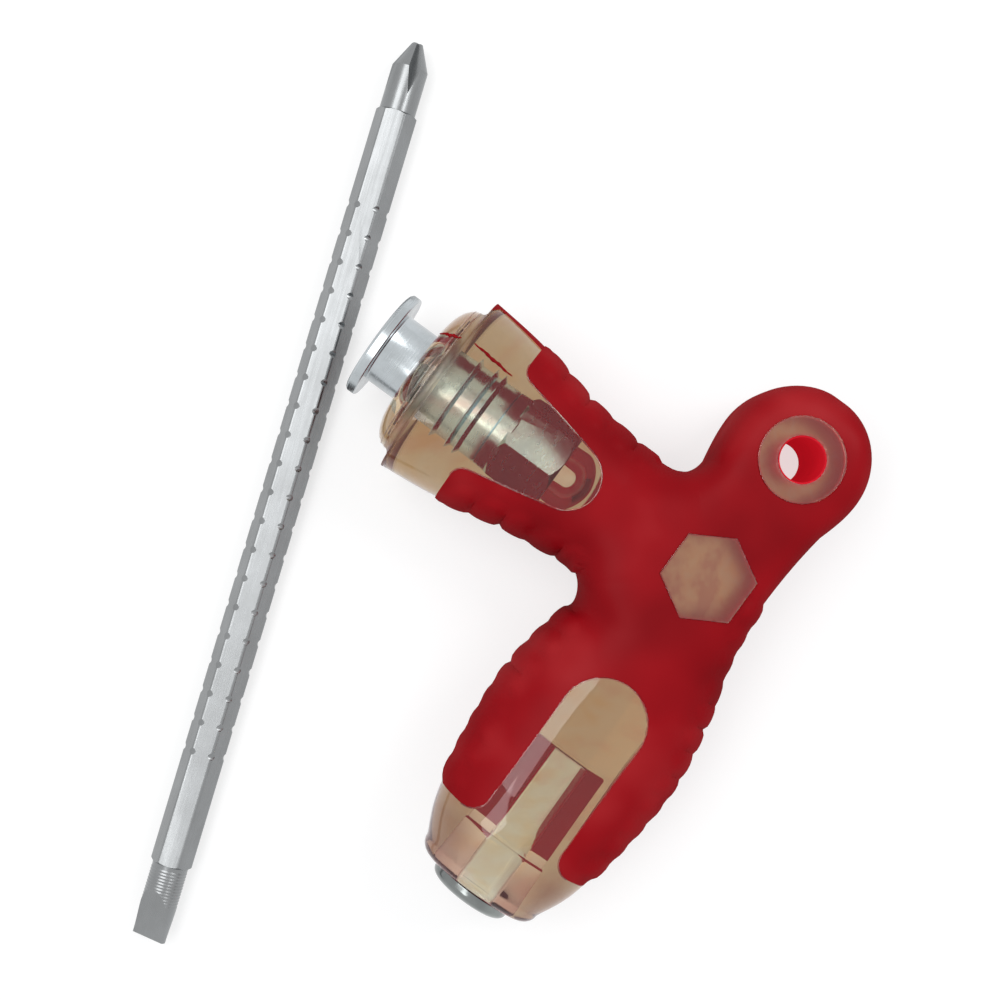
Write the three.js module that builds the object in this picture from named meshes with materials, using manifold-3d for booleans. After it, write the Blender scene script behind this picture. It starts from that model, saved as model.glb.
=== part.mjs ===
// A screwdriver with an angled handle: a clear moulded core under a red grip skin, a spring-locked
// chuck on one arm, a steel cap on the butt, and a loose double-ended blade lying beside it.
// Millimetres, +Z up. The hub's lower pad is at the origin, on the surface that the handle lies on.
// X runs out along the chuck, and Y runs along the grip bar to the butt.

import * as THREE from 'three';
import { mergeVertices } from 'three/addons/utils/BufferGeometryUtils.js';
import Module from 'manifold-3d';

const wasm = await Module();
wasm.setup();

// Handle: overall form
const HALF_THICKNESS = 13; // the pads and the guard, above and below the mid plane
const PAD_PROUD = 0.15; // the flat pads stand this far out of the crown of the grip
const SKIN = 2.2; // wall of the red grip
const SKIN_GAP = 0.3; // between the grip and the core
const HUB_POWER = 5; // squareness of the section at the hub, where 2 is an ellipse
const ARM_POWER = 2.5;
const EYE_POWER = 4.5;
const NOSE_POWER = 2;
const CROTCH_RADIUS = 4.6; // inner corners between the chuck arm and the grip bar

// Handle: chuck arm, along X
const CHUCK_ROOT_HALF_WIDTH = 10.5;
const CHUCK_WAIST_HALF_WIDTH = 11.8;
const CHUCK_WAIST_DROP = 0.8; // how far the waist lies under the guard
const GRIP_FRONT_X = 40.3;
const GRIP_FRONT_HALF_WIDTH = 14.3;
const GUARD_LENGTH = 9.7; // from the grip's front to the widest place of the guard
const GUARD_HALF_WIDTH = 15.4;
const GUARD_EDGE = 1.2; // from there to the foot of the nose
const NOSE_LENGTH = 3.2;
const NOSE_DROP = 0.2; // how far the nose's foot lies under the guard
const NOSE_WALL = 1.2; // round the sleeve, at the front

// Handle: butt arm, along Y
const BUTT_ROOT_HALF_WIDTH = 13.4;
const BUTT_BELLY_Y = 30;
const BUTT_BELLY_HALF_WIDTH = 15.7;
const GRIP_END_Y = 49.2;
const GRIP_END_HALF_WIDTH = 13.6;
const GRIP_END_DROP = 1; // how far the grip's end lies under the pads
const BUTT_TIP_LENGTH = 10.3; // clear end past the grip
const BUTT_EDGE_RADIUS = 2.2;
const BUTT_SIDE_MARGIN = 3.9; // from the cap to the sides of the butt
const BUTT_CROWN_MARGIN = 2.7; // from the cap to the top and underside of the butt

// Handle: back of the hub and the hanging eye
const BACK_HALF_WIDTH = 9.8;
const BACK_Y = -1;
const EYE_X = -0.9;
const EYE_DROP = 7.4; // from the root of the eye to its centre
const EYE_NECK_HALF_WIDTH = 9.7;
const HANG_HOLE_RADIUS = 3.4;
const RING_WALL = 3.1; // of the core, round the hole
const EYE_RIM = 5; // of the grip, round the core's ring

// Windows in the grip, filled by the core
const CHUCK_WINDOW_LENGTH = 19.5;
const CHUCK_WINDOW_END_RADIUS = 5.2;
const CHUCK_WINDOW_TAPER = THREE.MathUtils.degToRad(12.2);
const CHUCK_WINDOW_CORNER = 2.2;
const BUTT_WINDOW_LENGTH = 29.2;
const BUTT_WINDOW_HALF_WIDTH = 6.8;
const BUTT_WINDOW_CORNER = 3;
const HUB_PAD_RADIUS = 7.2; // over the corners of the hexagon

// Blade
const BLADE_LENGTH = 150;
const BLADE_HEX = 6; // across flats
const BLADE_NECK_RELIEF = 0.05; // how far the round necks lie under the flats
const CROSS_NECK_LENGTH = 12.6;
const SLOT_NECK_LENGTH = 13.4;
const NECK_CHAMFER_LENGTH = 1.1;
const NOTCH_PITCH = 4.79;
const NOTCH_FIRST = 27.8; // from the cross point
const NOTCH_LAST = 31; // from the slot tip, at least
const NOTCH_WIDTH = 1.7; // at the corners of the hexagon
const NOTCH_FLOOR_WIDTH = 0.85;
const NOTCH_FLOOR_RISE = 0.04; // how far the floor of a notch lies above the flats
const CROSS_TIP_RADIUS = 0.9;
const CROSS_POINT_LENGTH = 4.2;
const FLUTE_ROOT_RADIUS = 0.5;
const FLUTE_SLOPE = THREE.MathUtils.degToRad(16);
const FLUTE_ROLL = THREE.MathUtils.degToRad(20);
const SLOT_TIP_THICKNESS = 1;
const SLOT_GRIND_RADIUS = 15;
const SLOT_ROLL = THREE.MathUtils.degToRad(-25);
const BLADE_AHEAD = 9.15; // from the sleeve's front to the place where the blade crosses the chuck's axis
const BLADE_SHIFT = 29.9; // from that place to the middle of the blade
const BLADE_HEADING = THREE.MathUtils.degToRad(-70.65);

// Chuck body, turned steel moulded into the core
const TAIL_HEX = 10.3; // across flats
const TAIL_LENGTH = 10;
const TAIL_CHAMFER = 0.8;
const BARREL_LENGTH = 13.8;
const BARBS_BEHIND_SHOULDER = [8.4, 6.9, 4.1];
const BARB_HEIGHT = 0.65;
const BARB_WIDTH = 0.7;
const NECK_WALL = 0.57; // over the corners of the socket
const SOCKET_GAP = 0.1; // between the blade's flats and the socket
const MOULD_GAP = 0.2; // between the chuck body and the core
const BORE_GAP = 0.3; // between the blade's corners and the bore behind the chuck
const BORE_BEYOND_TAIL = 5.7; // how far the bore goes on behind the chuck's tail

// Release sleeve and what it holds
const SLEEVE_STROKE = 2.4;
const STROKE_SPARE = 0.3; // left behind the sleeve when it is pushed home
const SLEEVE_IN_NOSE = 0.7;
const SLEEVE_WALL = 0.5; // round the spring
const SLEEVE_GAP = 0.25; // between the sleeve and the nose round it
const SLIDE_GAP = 0.1; // between the turned pieces of the chuck
const FLANGE_RIM = 3.05;
const FLANGE_THICKNESS = 1.8;
const FLANGE_CHAMFER = 0.4;
const BALL_IN_SLEEVE = 3.7; // from the sleeve's rear edge
const BALL_RADIUS = 0.8;
const BALL_TRAVEL = 0.5; // outward, over the sleeve's whole stroke
const LAND_BEHIND_BALL = 0.5; // how far the locking land starts behind the ball's centre
const STOP_AHEAD = 1.46; // from the balls' holes to the stop washer
const WASHER_THICKNESS = 0.6;
const CLIP_WALL = 0.95;
const CLIP_THICKNESS = 0.7;
const CLIP_GROOVE = 0.3; // depth of the clip's groove in the neck
const CLIP_OPENING = THREE.MathUtils.degToRad(50);
const NECK_LIP = 0.5; // the neck in front of the clip
const SPRING_WIRE = 0.7;
const SPRING_TURNS = 3.5;

// Butt cap and the recess behind it
const RECESS_HEX = 10; // across flats
const RECESS_DEPTH = 25.5;
const RECESS_MOUTH_STEP = 0.2; // the mouth is wider by this all round
const RECESS_MOUTH_DEPTH = 9.3;
const CAP_SEAT = 0.7; // how far the cap covers past the corners of the mouth
const CAP_RIM = 1;
const CAP_DOME = 1.2;
const CAP_SPIGOT_LENGTH = 1.4;
const CAP_FIT_GAP = 0.15;

// Counts of facets, and how cutters are made
const ROUND = 24;
const BLADE_FACETS = 12; // two for each face of the hexagon
const ROOT_STEPS = 3;
const ARM_STEPS = 6;
const ARC_STEPS = 3;
const SIDE_STEPS = 5; // from the crown of a section to its edge
const CURL_STEPS = 8;
const WIRE_SIDES = 5;
const OVERCUT = 1; // how far a cutter runs past the face that it cuts
const WELD = 1e-4;

// Sizes that follow from the ones above: the handle
const MID = HALF_THICKNESS;
const TOP = 2 * MID;
const HUB_HALF_HEIGHT = HALF_THICKNESS - PAD_PROUD;
const ROOT_X = BUTT_ROOT_HALF_WIDTH + CROTCH_RADIUS;
const ROOT_Y = CHUCK_ROOT_HALF_WIDTH + CROTCH_RADIUS;
const CHUCK_WAIST_X = (ROOT_X + GRIP_FRONT_X) / 2;
const CHUCK_WAIST_HALF_HEIGHT = HALF_THICKNESS - CHUCK_WAIST_DROP;
const GUARD_X = GRIP_FRONT_X + GUARD_LENGTH;
const NOSE_BASE_X = GUARD_X + GUARD_EDGE;
const NOSE_FRONT_X = NOSE_BASE_X + NOSE_LENGTH;
const NOSE_RADIUS = HALF_THICKNESS - NOSE_DROP;
const RING_PAD_RADIUS = HANG_HOLE_RADIUS + RING_WALL;
const EYE_RADIUS = RING_PAD_RADIUS + EYE_RIM;
const EYE_Y = -(ROOT_Y + EYE_DROP);
const CAP_RADIUS = hexCorner(RECESS_HEX + 2 * RECESS_MOUTH_STEP) + CAP_SEAT;
const BUTT_END_Y = GRIP_END_Y + BUTT_TIP_LENGTH;
const BUTT_END_HALF_WIDTH = CAP_RADIUS + BUTT_SIDE_MARGIN;
const BUTT_END_HALF_HEIGHT = CAP_RADIUS + BUTT_CROWN_MARGIN;
const GRIP_END_HALF_HEIGHT = HALF_THICKNESS - GRIP_END_DROP;

// Sizes that follow: round the chuck's axis
const BLADE_CORNER = hexCorner(BLADE_HEX);
const BLADE_NECK_RADIUS = BLADE_HEX / 2 - BLADE_NECK_RELIEF;
const NOTCH_FLOOR_RADIUS = BLADE_HEX / 2 + NOTCH_FLOOR_RISE;
const BORE_RADIUS = BLADE_CORNER + BORE_GAP;
const SOCKET_HEX = BLADE_HEX + 2 * SOCKET_GAP;
const NECK_RADIUS = hexCorner(SOCKET_HEX) + NECK_WALL;
const NECK_FIT_RADIUS = NECK_RADIUS + SLIDE_GAP; // inside of what lies round the neck
const COIL_RADIUS = (NECK_FIT_RADIUS + SPRING_WIRE / 2) / Math.cos(Math.PI / CURL_STEPS);
const SPRING_RADIUS = COIL_RADIUS + SPRING_WIRE / 2;
const BARREL_RADIUS = SPRING_RADIUS; // its shoulder carries the spring
const BARB_RADIUS = BARREL_RADIUS + BARB_HEIGHT;
const SPRING_POCKET_RADIUS = SPRING_RADIUS + SLIDE_GAP;
const SLEEVE_RADIUS = SPRING_POCKET_RADIUS + SLEEVE_WALL;
const NOSE_POCKET_RADIUS = SLEEVE_RADIUS + SLEEVE_GAP;
const NOSE_FACE_RADIUS = NOSE_POCKET_RADIUS + NOSE_WALL;
const FLANGE_RADIUS = SLEEVE_RADIUS + FLANGE_RIM;
const BALL_HOLE_RADIUS = BALL_RADIUS + SLIDE_GAP;
const BALL_LOCKED = NOTCH_FLOOR_RADIUS + BALL_RADIUS; // centre of a ball from the chuck's axis
const CAM_SLOPE = BALL_TRAVEL / SLEEVE_STROKE;
const CAM_AT_BALL = BALL_LOCKED + BALL_HOLE_RADIUS * Math.hypot(1, CAM_SLOPE);

// Sizes that follow: along the chuck's axis
const SLEEVE_REAR_X = NOSE_FRONT_X - SLEEVE_IN_NOSE;
const SHOULDER_X = SLEEVE_REAR_X - SLEEVE_STROKE - STROKE_SPARE;
const BARREL_X = SHOULDER_X - BARREL_LENGTH;
const TAIL_X = BARREL_X - TAIL_LENGTH;
const BORE_END_X = TAIL_X - BORE_BEYOND_TAIL;
const BALL_X = SLEEVE_REAR_X + BALL_IN_SLEEVE;
const LAND_X = BALL_X - LAND_BEHIND_BALL;
const SPRING_WASHER_X = LAND_X - SLIDE_GAP - WASHER_THICKNESS;
const STOP_X = BALL_X + BALL_HOLE_RADIUS + STOP_AHEAD;
const CLIP_X = STOP_X + WASHER_THICKNESS + SLIDE_GAP;
const NECK_END_X = CLIP_X + CLIP_THICKNESS + NECK_LIP;
const SLEEVE_FRONT_X = NECK_END_X + SLIDE_GAP;

function v2(x, y) {
  return new THREE.Vector2(x, y);
}

function hexCorner(acrossFlats) {
  return acrossFlats / Math.sqrt(3);
}

// Solids and geometries

function solid(geometry) {
  const bare = geometry.index ? geometry.toNonIndexed() : geometry.clone();
  bare.deleteAttribute('normal');
  bare.deleteAttribute('uv');
  const welded = mergeVertices(bare, WELD);
  const place = welded.getAttribute('position');
  const corners = [0, 1, 2].map(() => new THREE.Vector3());
  const triangles = [];
  let volume = 0;
  for (let i = 0; i < welded.index.count; i += 3) {
    const face = [0, 1, 2].map((k) => welded.index.getX(i + k));
    if (new Set(face).size < 3) {
      continue;
    }
    face.forEach((vertex, k) => corners[k].fromBufferAttribute(place, vertex));
    volume += corners[0].dot(corners[1].clone().cross(corners[2]));
    triangles.push(face);
  }
  const outward = volume > 0 ? triangles : triangles.map(([a, b, c]) => [a, c, b]);
  return new wasm.Manifold(new wasm.Mesh({
    numProp: 3,
    vertProperties: new Float32Array(place.array),
    triVerts: new Uint32Array(outward.flat()),
  }));
}

function geometryOf(body) {
  const mesh = body.getMesh();
  const geometry = new THREE.BufferGeometry();
  geometry.setAttribute('position', new THREE.BufferAttribute(new Float32Array(mesh.vertProperties), 3));
  geometry.setIndex(new THREE.BufferAttribute(new Uint32Array(mesh.triVerts), 1));
  geometry.computeVertexNormals();
  return geometry;
}

// A body turned about the X axis from points of place along it and radius
function turnedGeometry(profile, facets = ROUND) {
  const points = profile.map(([along, radius]) => v2(radius, along));
  return new THREE.LatheGeometry(points, facets).rotateZ(-Math.PI / 2);
}

// The chuck's axis lies in the mid plane of the handle
function turnedOnChuck(profile, facets = ROUND) {
  return turnedGeometry(profile, facets).translate(0, 0, MID);
}

// A hexagonal bar along X, with a flat or a corner on top
function hexBar(acrossFlats, from, to, cornerUp = false) {
  const radius = hexCorner(acrossFlats);
  const bar = new THREE.CylinderGeometry(radius, radius, to - from, 6);
  bar.rotateZ(-Math.PI / 2);
  bar.rotateX(cornerUp ? 0 : Math.PI / 2);
  return bar.translate((from + to) / 2, 0, 0);
}

function prism(shape, bottom, top, curveSegments = ARC_STEPS * 2) {
  const settings = { depth: top - bottom, bevelEnabled: false, curveSegments };
  return new THREE.ExtrudeGeometry(shape, settings).translate(0, 0, bottom);
}

// The handle's outer form, or the same form drawn in by an inset all over.
// Three limbs meet on seams from the hub to the two inner corners and the back.

function superellipse(share, power) {
  return Math.pow(Math.max(0, 1 - Math.pow(Math.abs(share), power)), 1 / power);
}

function station(axis, left, right, halfHeight, power) {
  return { axis, left, right, halfHeight, power };
}

function blend(from, to, share) {
  return THREE.MathUtils.lerp(from, to, THREE.MathUtils.smoothstep(share, 0, 1));
}

// A root runs from two seams to the first square section of its limb
function rootStations(leftPath, rightPath, axisEnd, halfHeight, power) {
  const left = leftPath.getSpacedPoints(ROOT_STEPS);
  const right = rightPath.getSpacedPoints(ROOT_STEPS);
  return left.map((point, i) => {
    const share = i / ROOT_STEPS;
    const axis = v2(0, 0).lerp(axisEnd, share);
    const height = blend(HUB_HALF_HEIGHT, halfHeight, share);
    return station(axis, point, right[i], height, blend(HUB_POWER, power, share));
  });
}

// Heights that were given for the outer form, brought in with the rest
function drawnIn(stations, inset) {
  return stations.map((each) => ({ ...each, halfHeight: each.halfHeight - inset }));
}

function cornerPath(centre, radius, from, to, end) {
  const turn = THREE.MathUtils.degToRad;
  const path = new THREE.Path();
  path.absarc(centre.x, centre.y, radius, turn(from), turn(to), to < from);
  path.lineTo(end.x, end.y);
  return path;
}

function backPath(inset, end) {
  const x = -(BACK_HALF_WIDTH - inset);
  const path = new THREE.Path();
  path.moveTo(x, BACK_Y);
  path.quadraticCurveTo(x, (BACK_Y + end.y) / 2, end.x, end.y);
  return path;
}

function chuckLimb(inset) {
  const root = CHUCK_ROOT_HALF_WIDTH - inset;
  const buttCorner = v2(ROOT_X, ROOT_Y);
  const eyeCorner = v2(EYE_NECK_HALF_WIDTH + CROTCH_RADIUS, -ROOT_Y);
  const radius = CROTCH_RADIUS + inset;
  const left = cornerPath(buttCorner, radius, 225, 270, v2(ROOT_X, root));
  const right = cornerPath(eyeCorner, radius, 135, 90, v2(ROOT_X, -root));
  const stations = rootStations(left, right, v2(ROOT_X, 0), CHUCK_WAIST_HALF_HEIGHT, ARM_POWER);
  const square = (x, halfWidth, halfHeight, power) => stations.push(
    station(v2(x, 0), v2(x, halfWidth - inset), v2(x, inset - halfWidth), halfHeight, power),
  );
  const side = new THREE.SplineCurve([
    v2(ROOT_X, CHUCK_ROOT_HALF_WIDTH),
    v2(CHUCK_WAIST_X, CHUCK_WAIST_HALF_WIDTH),
    v2(GRIP_FRONT_X, GRIP_FRONT_HALF_WIDTH),
    v2(GUARD_X, GUARD_HALF_WIDTH),
  ]);
  for (let i = 1; i <= ARM_STEPS; i += 1) {
    const { x, y } = side.getPoint(i / ARM_STEPS);
    const rise = (x - CHUCK_WAIST_X) / (GUARD_X - CHUCK_WAIST_X);
    square(x, y, blend(CHUCK_WAIST_HALF_HEIGHT, HALF_THICKNESS, rise), ARM_POWER);
  }
  for (let i = 1; i <= ARC_STEPS; i += 1) {
    const angle = (i / ARC_STEPS) * Math.PI / 2;
    const x = GUARD_X + (NOSE_BASE_X - GUARD_X) * (1 - Math.cos(angle));
    const fall = Math.sin(angle);
    square(
      x,
      THREE.MathUtils.lerp(GUARD_HALF_WIDTH, NOSE_RADIUS, fall),
      THREE.MathUtils.lerp(HALF_THICKNESS, NOSE_RADIUS, fall),
      THREE.MathUtils.lerp(ARM_POWER, NOSE_POWER, fall),
    );
  }
  for (let i = 1; i <= ARC_STEPS; i += 1) {
    const angle = (i / ARC_STEPS) * Math.PI / 2;
    const x = NOSE_BASE_X + (NOSE_FRONT_X - NOSE_BASE_X) * Math.sin(angle);
    const radiusHere = THREE.MathUtils.lerp(NOSE_FACE_RADIUS, NOSE_RADIUS, Math.cos(angle));
    square(x, radiusHere, radiusHere, NOSE_POWER);
  }
  return drawnIn(stations, inset);
}

function buttLimb(inset) {
  const root = BUTT_ROOT_HALF_WIDTH - inset;
  const left = backPath(inset, v2(-root, ROOT_Y));
  const right = cornerPath(v2(ROOT_X, ROOT_Y), CROTCH_RADIUS + inset, 225, 180, v2(root, ROOT_Y));
  const stations = rootStations(left, right, v2(0, ROOT_Y), HUB_HALF_HEIGHT, ARM_POWER);
  const square = (y, halfWidth, halfHeight) => stations.push(
    station(v2(0, y), v2(inset - halfWidth, y), v2(halfWidth - inset, y), halfHeight, ARM_POWER),
  );
  const cornerY = BUTT_END_Y - BUTT_EDGE_RADIUS;
  const side = new THREE.SplineCurve([
    v2(ROOT_Y, BUTT_ROOT_HALF_WIDTH),
    v2(BUTT_BELLY_Y, BUTT_BELLY_HALF_WIDTH),
    v2(GRIP_END_Y, GRIP_END_HALF_WIDTH),
    v2(cornerY, BUTT_END_HALF_WIDTH),
  ]);
  const crown = new THREE.SplineCurve([
    v2(ROOT_Y, HUB_HALF_HEIGHT),
    v2(BUTT_BELLY_Y, HUB_HALF_HEIGHT),
    v2(GRIP_END_Y, GRIP_END_HALF_HEIGHT),
    v2(cornerY, BUTT_END_HALF_HEIGHT),
  ]);
  for (let i = 1; i <= ARM_STEPS; i += 1) {
    const { x: y, y: halfWidth } = side.getPoint(i / ARM_STEPS);
    square(y, halfWidth, crown.getPoint(i / ARM_STEPS).y);
  }
  for (let i = 1; i <= ARC_STEPS; i += 1) {
    const angle = (i / ARC_STEPS) * Math.PI / 2;
    const drawn = BUTT_EDGE_RADIUS * (1 - Math.cos(angle));
    const y = cornerY + BUTT_EDGE_RADIUS * Math.sin(angle);
    square(y, BUTT_END_HALF_WIDTH - drawn, BUTT_END_HALF_HEIGHT - drawn);
  }
  return drawnIn(stations, inset);
}

function eyeLimb(inset) {
  const front = EYE_NECK_HALF_WIDTH - inset;
  const radius = EYE_RADIUS - inset;
  const eye = v2(EYE_X, EYE_Y);
  const neck = v2(EYE_X * ROOT_Y / -EYE_Y, -ROOT_Y);
  const back = v2(2 * neck.x - front, -ROOT_Y);
  const corner = v2(EYE_NECK_HALF_WIDTH + CROTCH_RADIUS, -ROOT_Y);
  const left = cornerPath(corner, CROTCH_RADIUS + inset, 135, 180, v2(front, -ROOT_Y));
  const right = backPath(inset, back);
  const halfHeight = HUB_HALF_HEIGHT - inset;
  const stations = drawnIn(rootStations(left, right, neck, HUB_HALF_HEIGHT, EYE_POWER), inset);
  for (let i = 1; i <= ARC_STEPS; i += 1) {
    const share = i / ARC_STEPS;
    const ease = Math.sin(share * Math.PI / 2);
    const axis = neck.clone().lerp(eye, share);
    const leftX = THREE.MathUtils.lerp(front, EYE_X + radius, ease);
    const rightX = THREE.MathUtils.lerp(back.x, EYE_X - radius, ease);
    stations.push(station(axis, v2(leftX, axis.y), v2(rightX, axis.y), halfHeight, EYE_POWER));
  }
  for (let i = 1; i <= SIDE_STEPS; i += 1) {
    const angle = (i / SIDE_STEPS) * Math.PI / 2;
    const reach = i === SIDE_STEPS ? 0 : radius * Math.cos(angle);
    const y = EYE_Y - radius * Math.sin(angle);
    const height = halfHeight * superellipse(Math.sin(angle), EYE_POWER);
    stations.push(station(v2(EYE_X, y), v2(EYE_X + reach, y), v2(EYE_X - reach, y), height, EYE_POWER));
  }
  return stations;
}

function sectionPoint({ axis, left, right, halfHeight, power }, column, side) {
  const share = Math.sin((column / SIDE_STEPS) * Math.PI / 2);
  const edge = share < 0 ? right : left;
  const { x, y } = axis.clone().lerp(edge, Math.abs(share));
  const flush = Math.abs(column) === SIDE_STEPS ? 0 : superellipse(share, power);
  return new THREE.Vector3(x, y, MID + side * halfHeight * flush);
}

function handleForm(inset = 0) {
  const triangles = [];
  const quad = (a, b, c, d) => triangles.push(a, b, c, a, c, d);
  for (const limb of [chuckLimb(inset), buttLimb(inset), eyeLimb(inset)]) {
    const last = limb.at(-1);
    for (let column = -SIDE_STEPS; column < SIDE_STEPS; column += 1) {
      for (let i = 0; i + 1 < limb.length; i += 1) {
        const at = (row, step, side) => sectionPoint(limb[i + row], column + step, side);
        quad(at(0, 0, 1), at(1, 0, 1), at(1, 1, 1), at(0, 1, 1));
        quad(at(0, 1, -1), at(1, 1, -1), at(1, 0, -1), at(0, 0, -1));
      }
      const end = (step, side) => sectionPoint(last, column + step, side);
      quad(end(0, 1), end(0, -1), end(1, -1), end(1, 1));
    }
  }
  return new THREE.BufferGeometry().setFromPoints(triangles);
}

// Windows: a tongue with a round end that opens at its mouth, where the grip stops.
// The tongue runs along X from its tip, and takes in everything past the mouth.

function tongue({ tip, endRadius, taper, mouth, corner }, grow) {
  const centre = tip + endRadius;
  const round = endRadius + grow;
  const edge = corner - grow;
  const sine = Math.sin(taper);
  const cosine = Math.cos(taper);
  const cornerX = mouth - corner;
  const cornerY = round / cosine + (cornerX - centre) * Math.tan(taper) + edge / cosine;
  const reach = 2 * Math.max(BUTT_END_Y, NOSE_FRONT_X);
  const shape = new THREE.Shape();
  shape.moveTo(mouth - grow, reach);
  shape.lineTo(mouth - grow, cornerY);
  shape.absarc(cornerX, cornerY, edge, 0, taper - Math.PI / 2, true);
  shape.lineTo(centre - round * sine, round * cosine);
  shape.absarc(centre, 0, round, Math.PI / 2 + taper, 1.5 * Math.PI - taper, false);
  shape.lineTo(cornerX + edge * sine, edge * cosine - cornerY);
  shape.absarc(cornerX, -cornerY, edge, Math.PI / 2 - taper, 0, true);
  shape.lineTo(mouth - grow, -reach);
  shape.lineTo(reach, -reach);
  shape.lineTo(reach, reach);
  return prism(shape, -OVERCUT, TOP + OVERCUT);
}

function chuckTongue(grow = 0) {
  return tongue({
    tip: GRIP_FRONT_X - CHUCK_WINDOW_LENGTH,
    endRadius: CHUCK_WINDOW_END_RADIUS,
    taper: CHUCK_WINDOW_TAPER,
    mouth: GRIP_FRONT_X,
    corner: CHUCK_WINDOW_CORNER,
  }, grow);
}

function buttTongue(grow = 0) {
  return tongue({
    tip: GRIP_END_Y - BUTT_WINDOW_LENGTH,
    endRadius: BUTT_WINDOW_HALF_WIDTH,
    taper: 0,
    mouth: GRIP_END_Y,
    corner: BUTT_WINDOW_CORNER,
  }, grow).rotateZ(Math.PI / 2);
}

function hubPad(bottom, top, grow = 0) {
  const radius = HUB_PAD_RADIUS + grow / Math.cos(Math.PI / 6);
  const corners = [0, 1, 2, 3, 4, 5].map((k) => {
    const angle = (k + 0.5) * Math.PI / 3;
    return v2(radius * Math.cos(angle), radius * Math.sin(angle));
  });
  return prism(new THREE.Shape(corners), bottom, top);
}

function eyeDisc(radius, bottom, top) {
  const disc = new THREE.CylinderGeometry(radius, radius, top - bottom, ROUND);
  return disc.rotateX(Math.PI / 2).translate(EYE_X, EYE_Y, (bottom + top) / 2);
}

// The chuck body: a hexagonal tail, a barbed barrel held in the core and a neck for the sleeve

function barrelProfile(grow) {
  const profile = [[BARREL_X - grow, 0], [BARREL_X - grow, BARREL_RADIUS + grow]];
  for (const behind of BARBS_BEHIND_SHOULDER) {
    const place = SHOULDER_X - behind;
    profile.push([place - BARB_WIDTH - grow, BARREL_RADIUS + grow]);
    profile.push([place - grow, BARB_RADIUS + grow]);
    profile.push([place + grow, BARB_RADIUS + grow]);
    profile.push([place + grow, BARREL_RADIUS + grow]);
  }
  profile.push([SHOULDER_X, BARREL_RADIUS + grow], [SHOULDER_X, 0]);
  return profile;
}

function tailBody(grow) {
  const corner = hexCorner(TAIL_HEX) + grow;
  const chamfer = turnedOnChuck([
    [TAIL_X - grow, 0],
    [TAIL_X - grow, corner - TAIL_CHAMFER],
    [TAIL_X - grow + TAIL_CHAMFER, corner],
    [BARREL_X + BARB_WIDTH, corner],
    [BARREL_X + BARB_WIDTH, 0],
  ]);
  const bar = hexBar(TAIL_HEX + 2 * grow, TAIL_X - grow, BARREL_X + BARB_WIDTH, true);
  return solid(bar.translate(0, 0, MID)).intersect(solid(chamfer));
}

function chuckBody() {
  const neck = turnedOnChuck([
    [BARREL_X, 0],
    [BARREL_X, NECK_RADIUS],
    [CLIP_X - SLIDE_GAP, NECK_RADIUS],
    [CLIP_X - SLIDE_GAP, NECK_RADIUS - CLIP_GROOVE],
    [CLIP_X + CLIP_THICKNESS + SLIDE_GAP, NECK_RADIUS - CLIP_GROOVE],
    [CLIP_X + CLIP_THICKNESS + SLIDE_GAP, NECK_RADIUS],
    [NECK_END_X, NECK_RADIUS],
    [NECK_END_X, 0],
  ]);
  const socket = hexBar(SOCKET_HEX, TAIL_X - OVERCUT, NECK_END_X + OVERCUT);
  const across = 2 * (NECK_RADIUS + OVERCUT);
  const ballHole = new THREE.CylinderGeometry(BALL_HOLE_RADIUS, BALL_HOLE_RADIUS, across, ROUND / 2);
  const cuts = [socket.translate(0, 0, MID), ballHole.translate(BALL_X, 0, MID)].map(solid);
  const body = tailBody(0).add(solid(turnedOnChuck(barrelProfile(0)))).add(solid(neck));
  return geometryOf(cuts.reduce((left, cut) => left.subtract(cut), body));
}

// The core: clear, under the skin all over and out to the surface at its windows and ends

function clearCore() {
  const outer = solid(handleForm());
  const windows = outer.intersect(solid(chuckTongue())).add(outer.intersect(solid(buttTongue())));
  const pads = solid(hubPad(0, TOP)).add(solid(eyeDisc(RING_PAD_RADIUS, 0, TOP)));
  const sleevePocket = turnedOnChuck([
    [SHOULDER_X - MOULD_GAP, 0],
    [SHOULDER_X - MOULD_GAP, NOSE_POCKET_RADIUS],
    [NOSE_FRONT_X + OVERCUT, NOSE_POCKET_RADIUS],
    [NOSE_FRONT_X + OVERCUT, 0],
  ]);
  const bore = turnedOnChuck([
    [BORE_END_X, 0],
    [BORE_END_X, BORE_RADIUS],
    [TAIL_X, BORE_RADIUS],
    [TAIL_X, 0],
  ]);
  const hollows = [
    tailBody(MOULD_GAP),
    solid(turnedOnChuck(barrelProfile(MOULD_GAP))),
    solid(sleevePocket),
    solid(bore),
    solid(buttRecess(RECESS_HEX, RECESS_DEPTH)),
    solid(buttRecess(RECESS_HEX + 2 * RECESS_MOUTH_STEP, RECESS_MOUTH_DEPTH)),
    solid(eyeDisc(HANG_HOLE_RADIUS, -OVERCUT, TOP + OVERCUT)),
  ];
  const whole = solid(handleForm(SKIN + SKIN_GAP)).add(windows).add(pads);
  return geometryOf(hollows.reduce((body, hollow) => body.subtract(hollow), whole));
}

function redGrip() {
  const cuts = [
    solid(handleForm(SKIN)),
    solid(chuckTongue(SKIN_GAP)),
    solid(buttTongue(SKIN_GAP)),
    solid(hubPad(-OVERCUT, TOP + OVERCUT, SKIN_GAP)),
    solid(eyeDisc(RING_PAD_RADIUS + SKIN_GAP, -OVERCUT, TOP + OVERCUT)),
  ];
  return geometryOf(cuts.reduce((body, cut) => body.subtract(cut), solid(handleForm())));
}

// The sleeve slides on the neck. Its cone lets the balls out as it is pushed to the handle.

function camRadius(x) {
  return CAM_AT_BALL + (x - BALL_X) * CAM_SLOPE;
}

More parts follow.
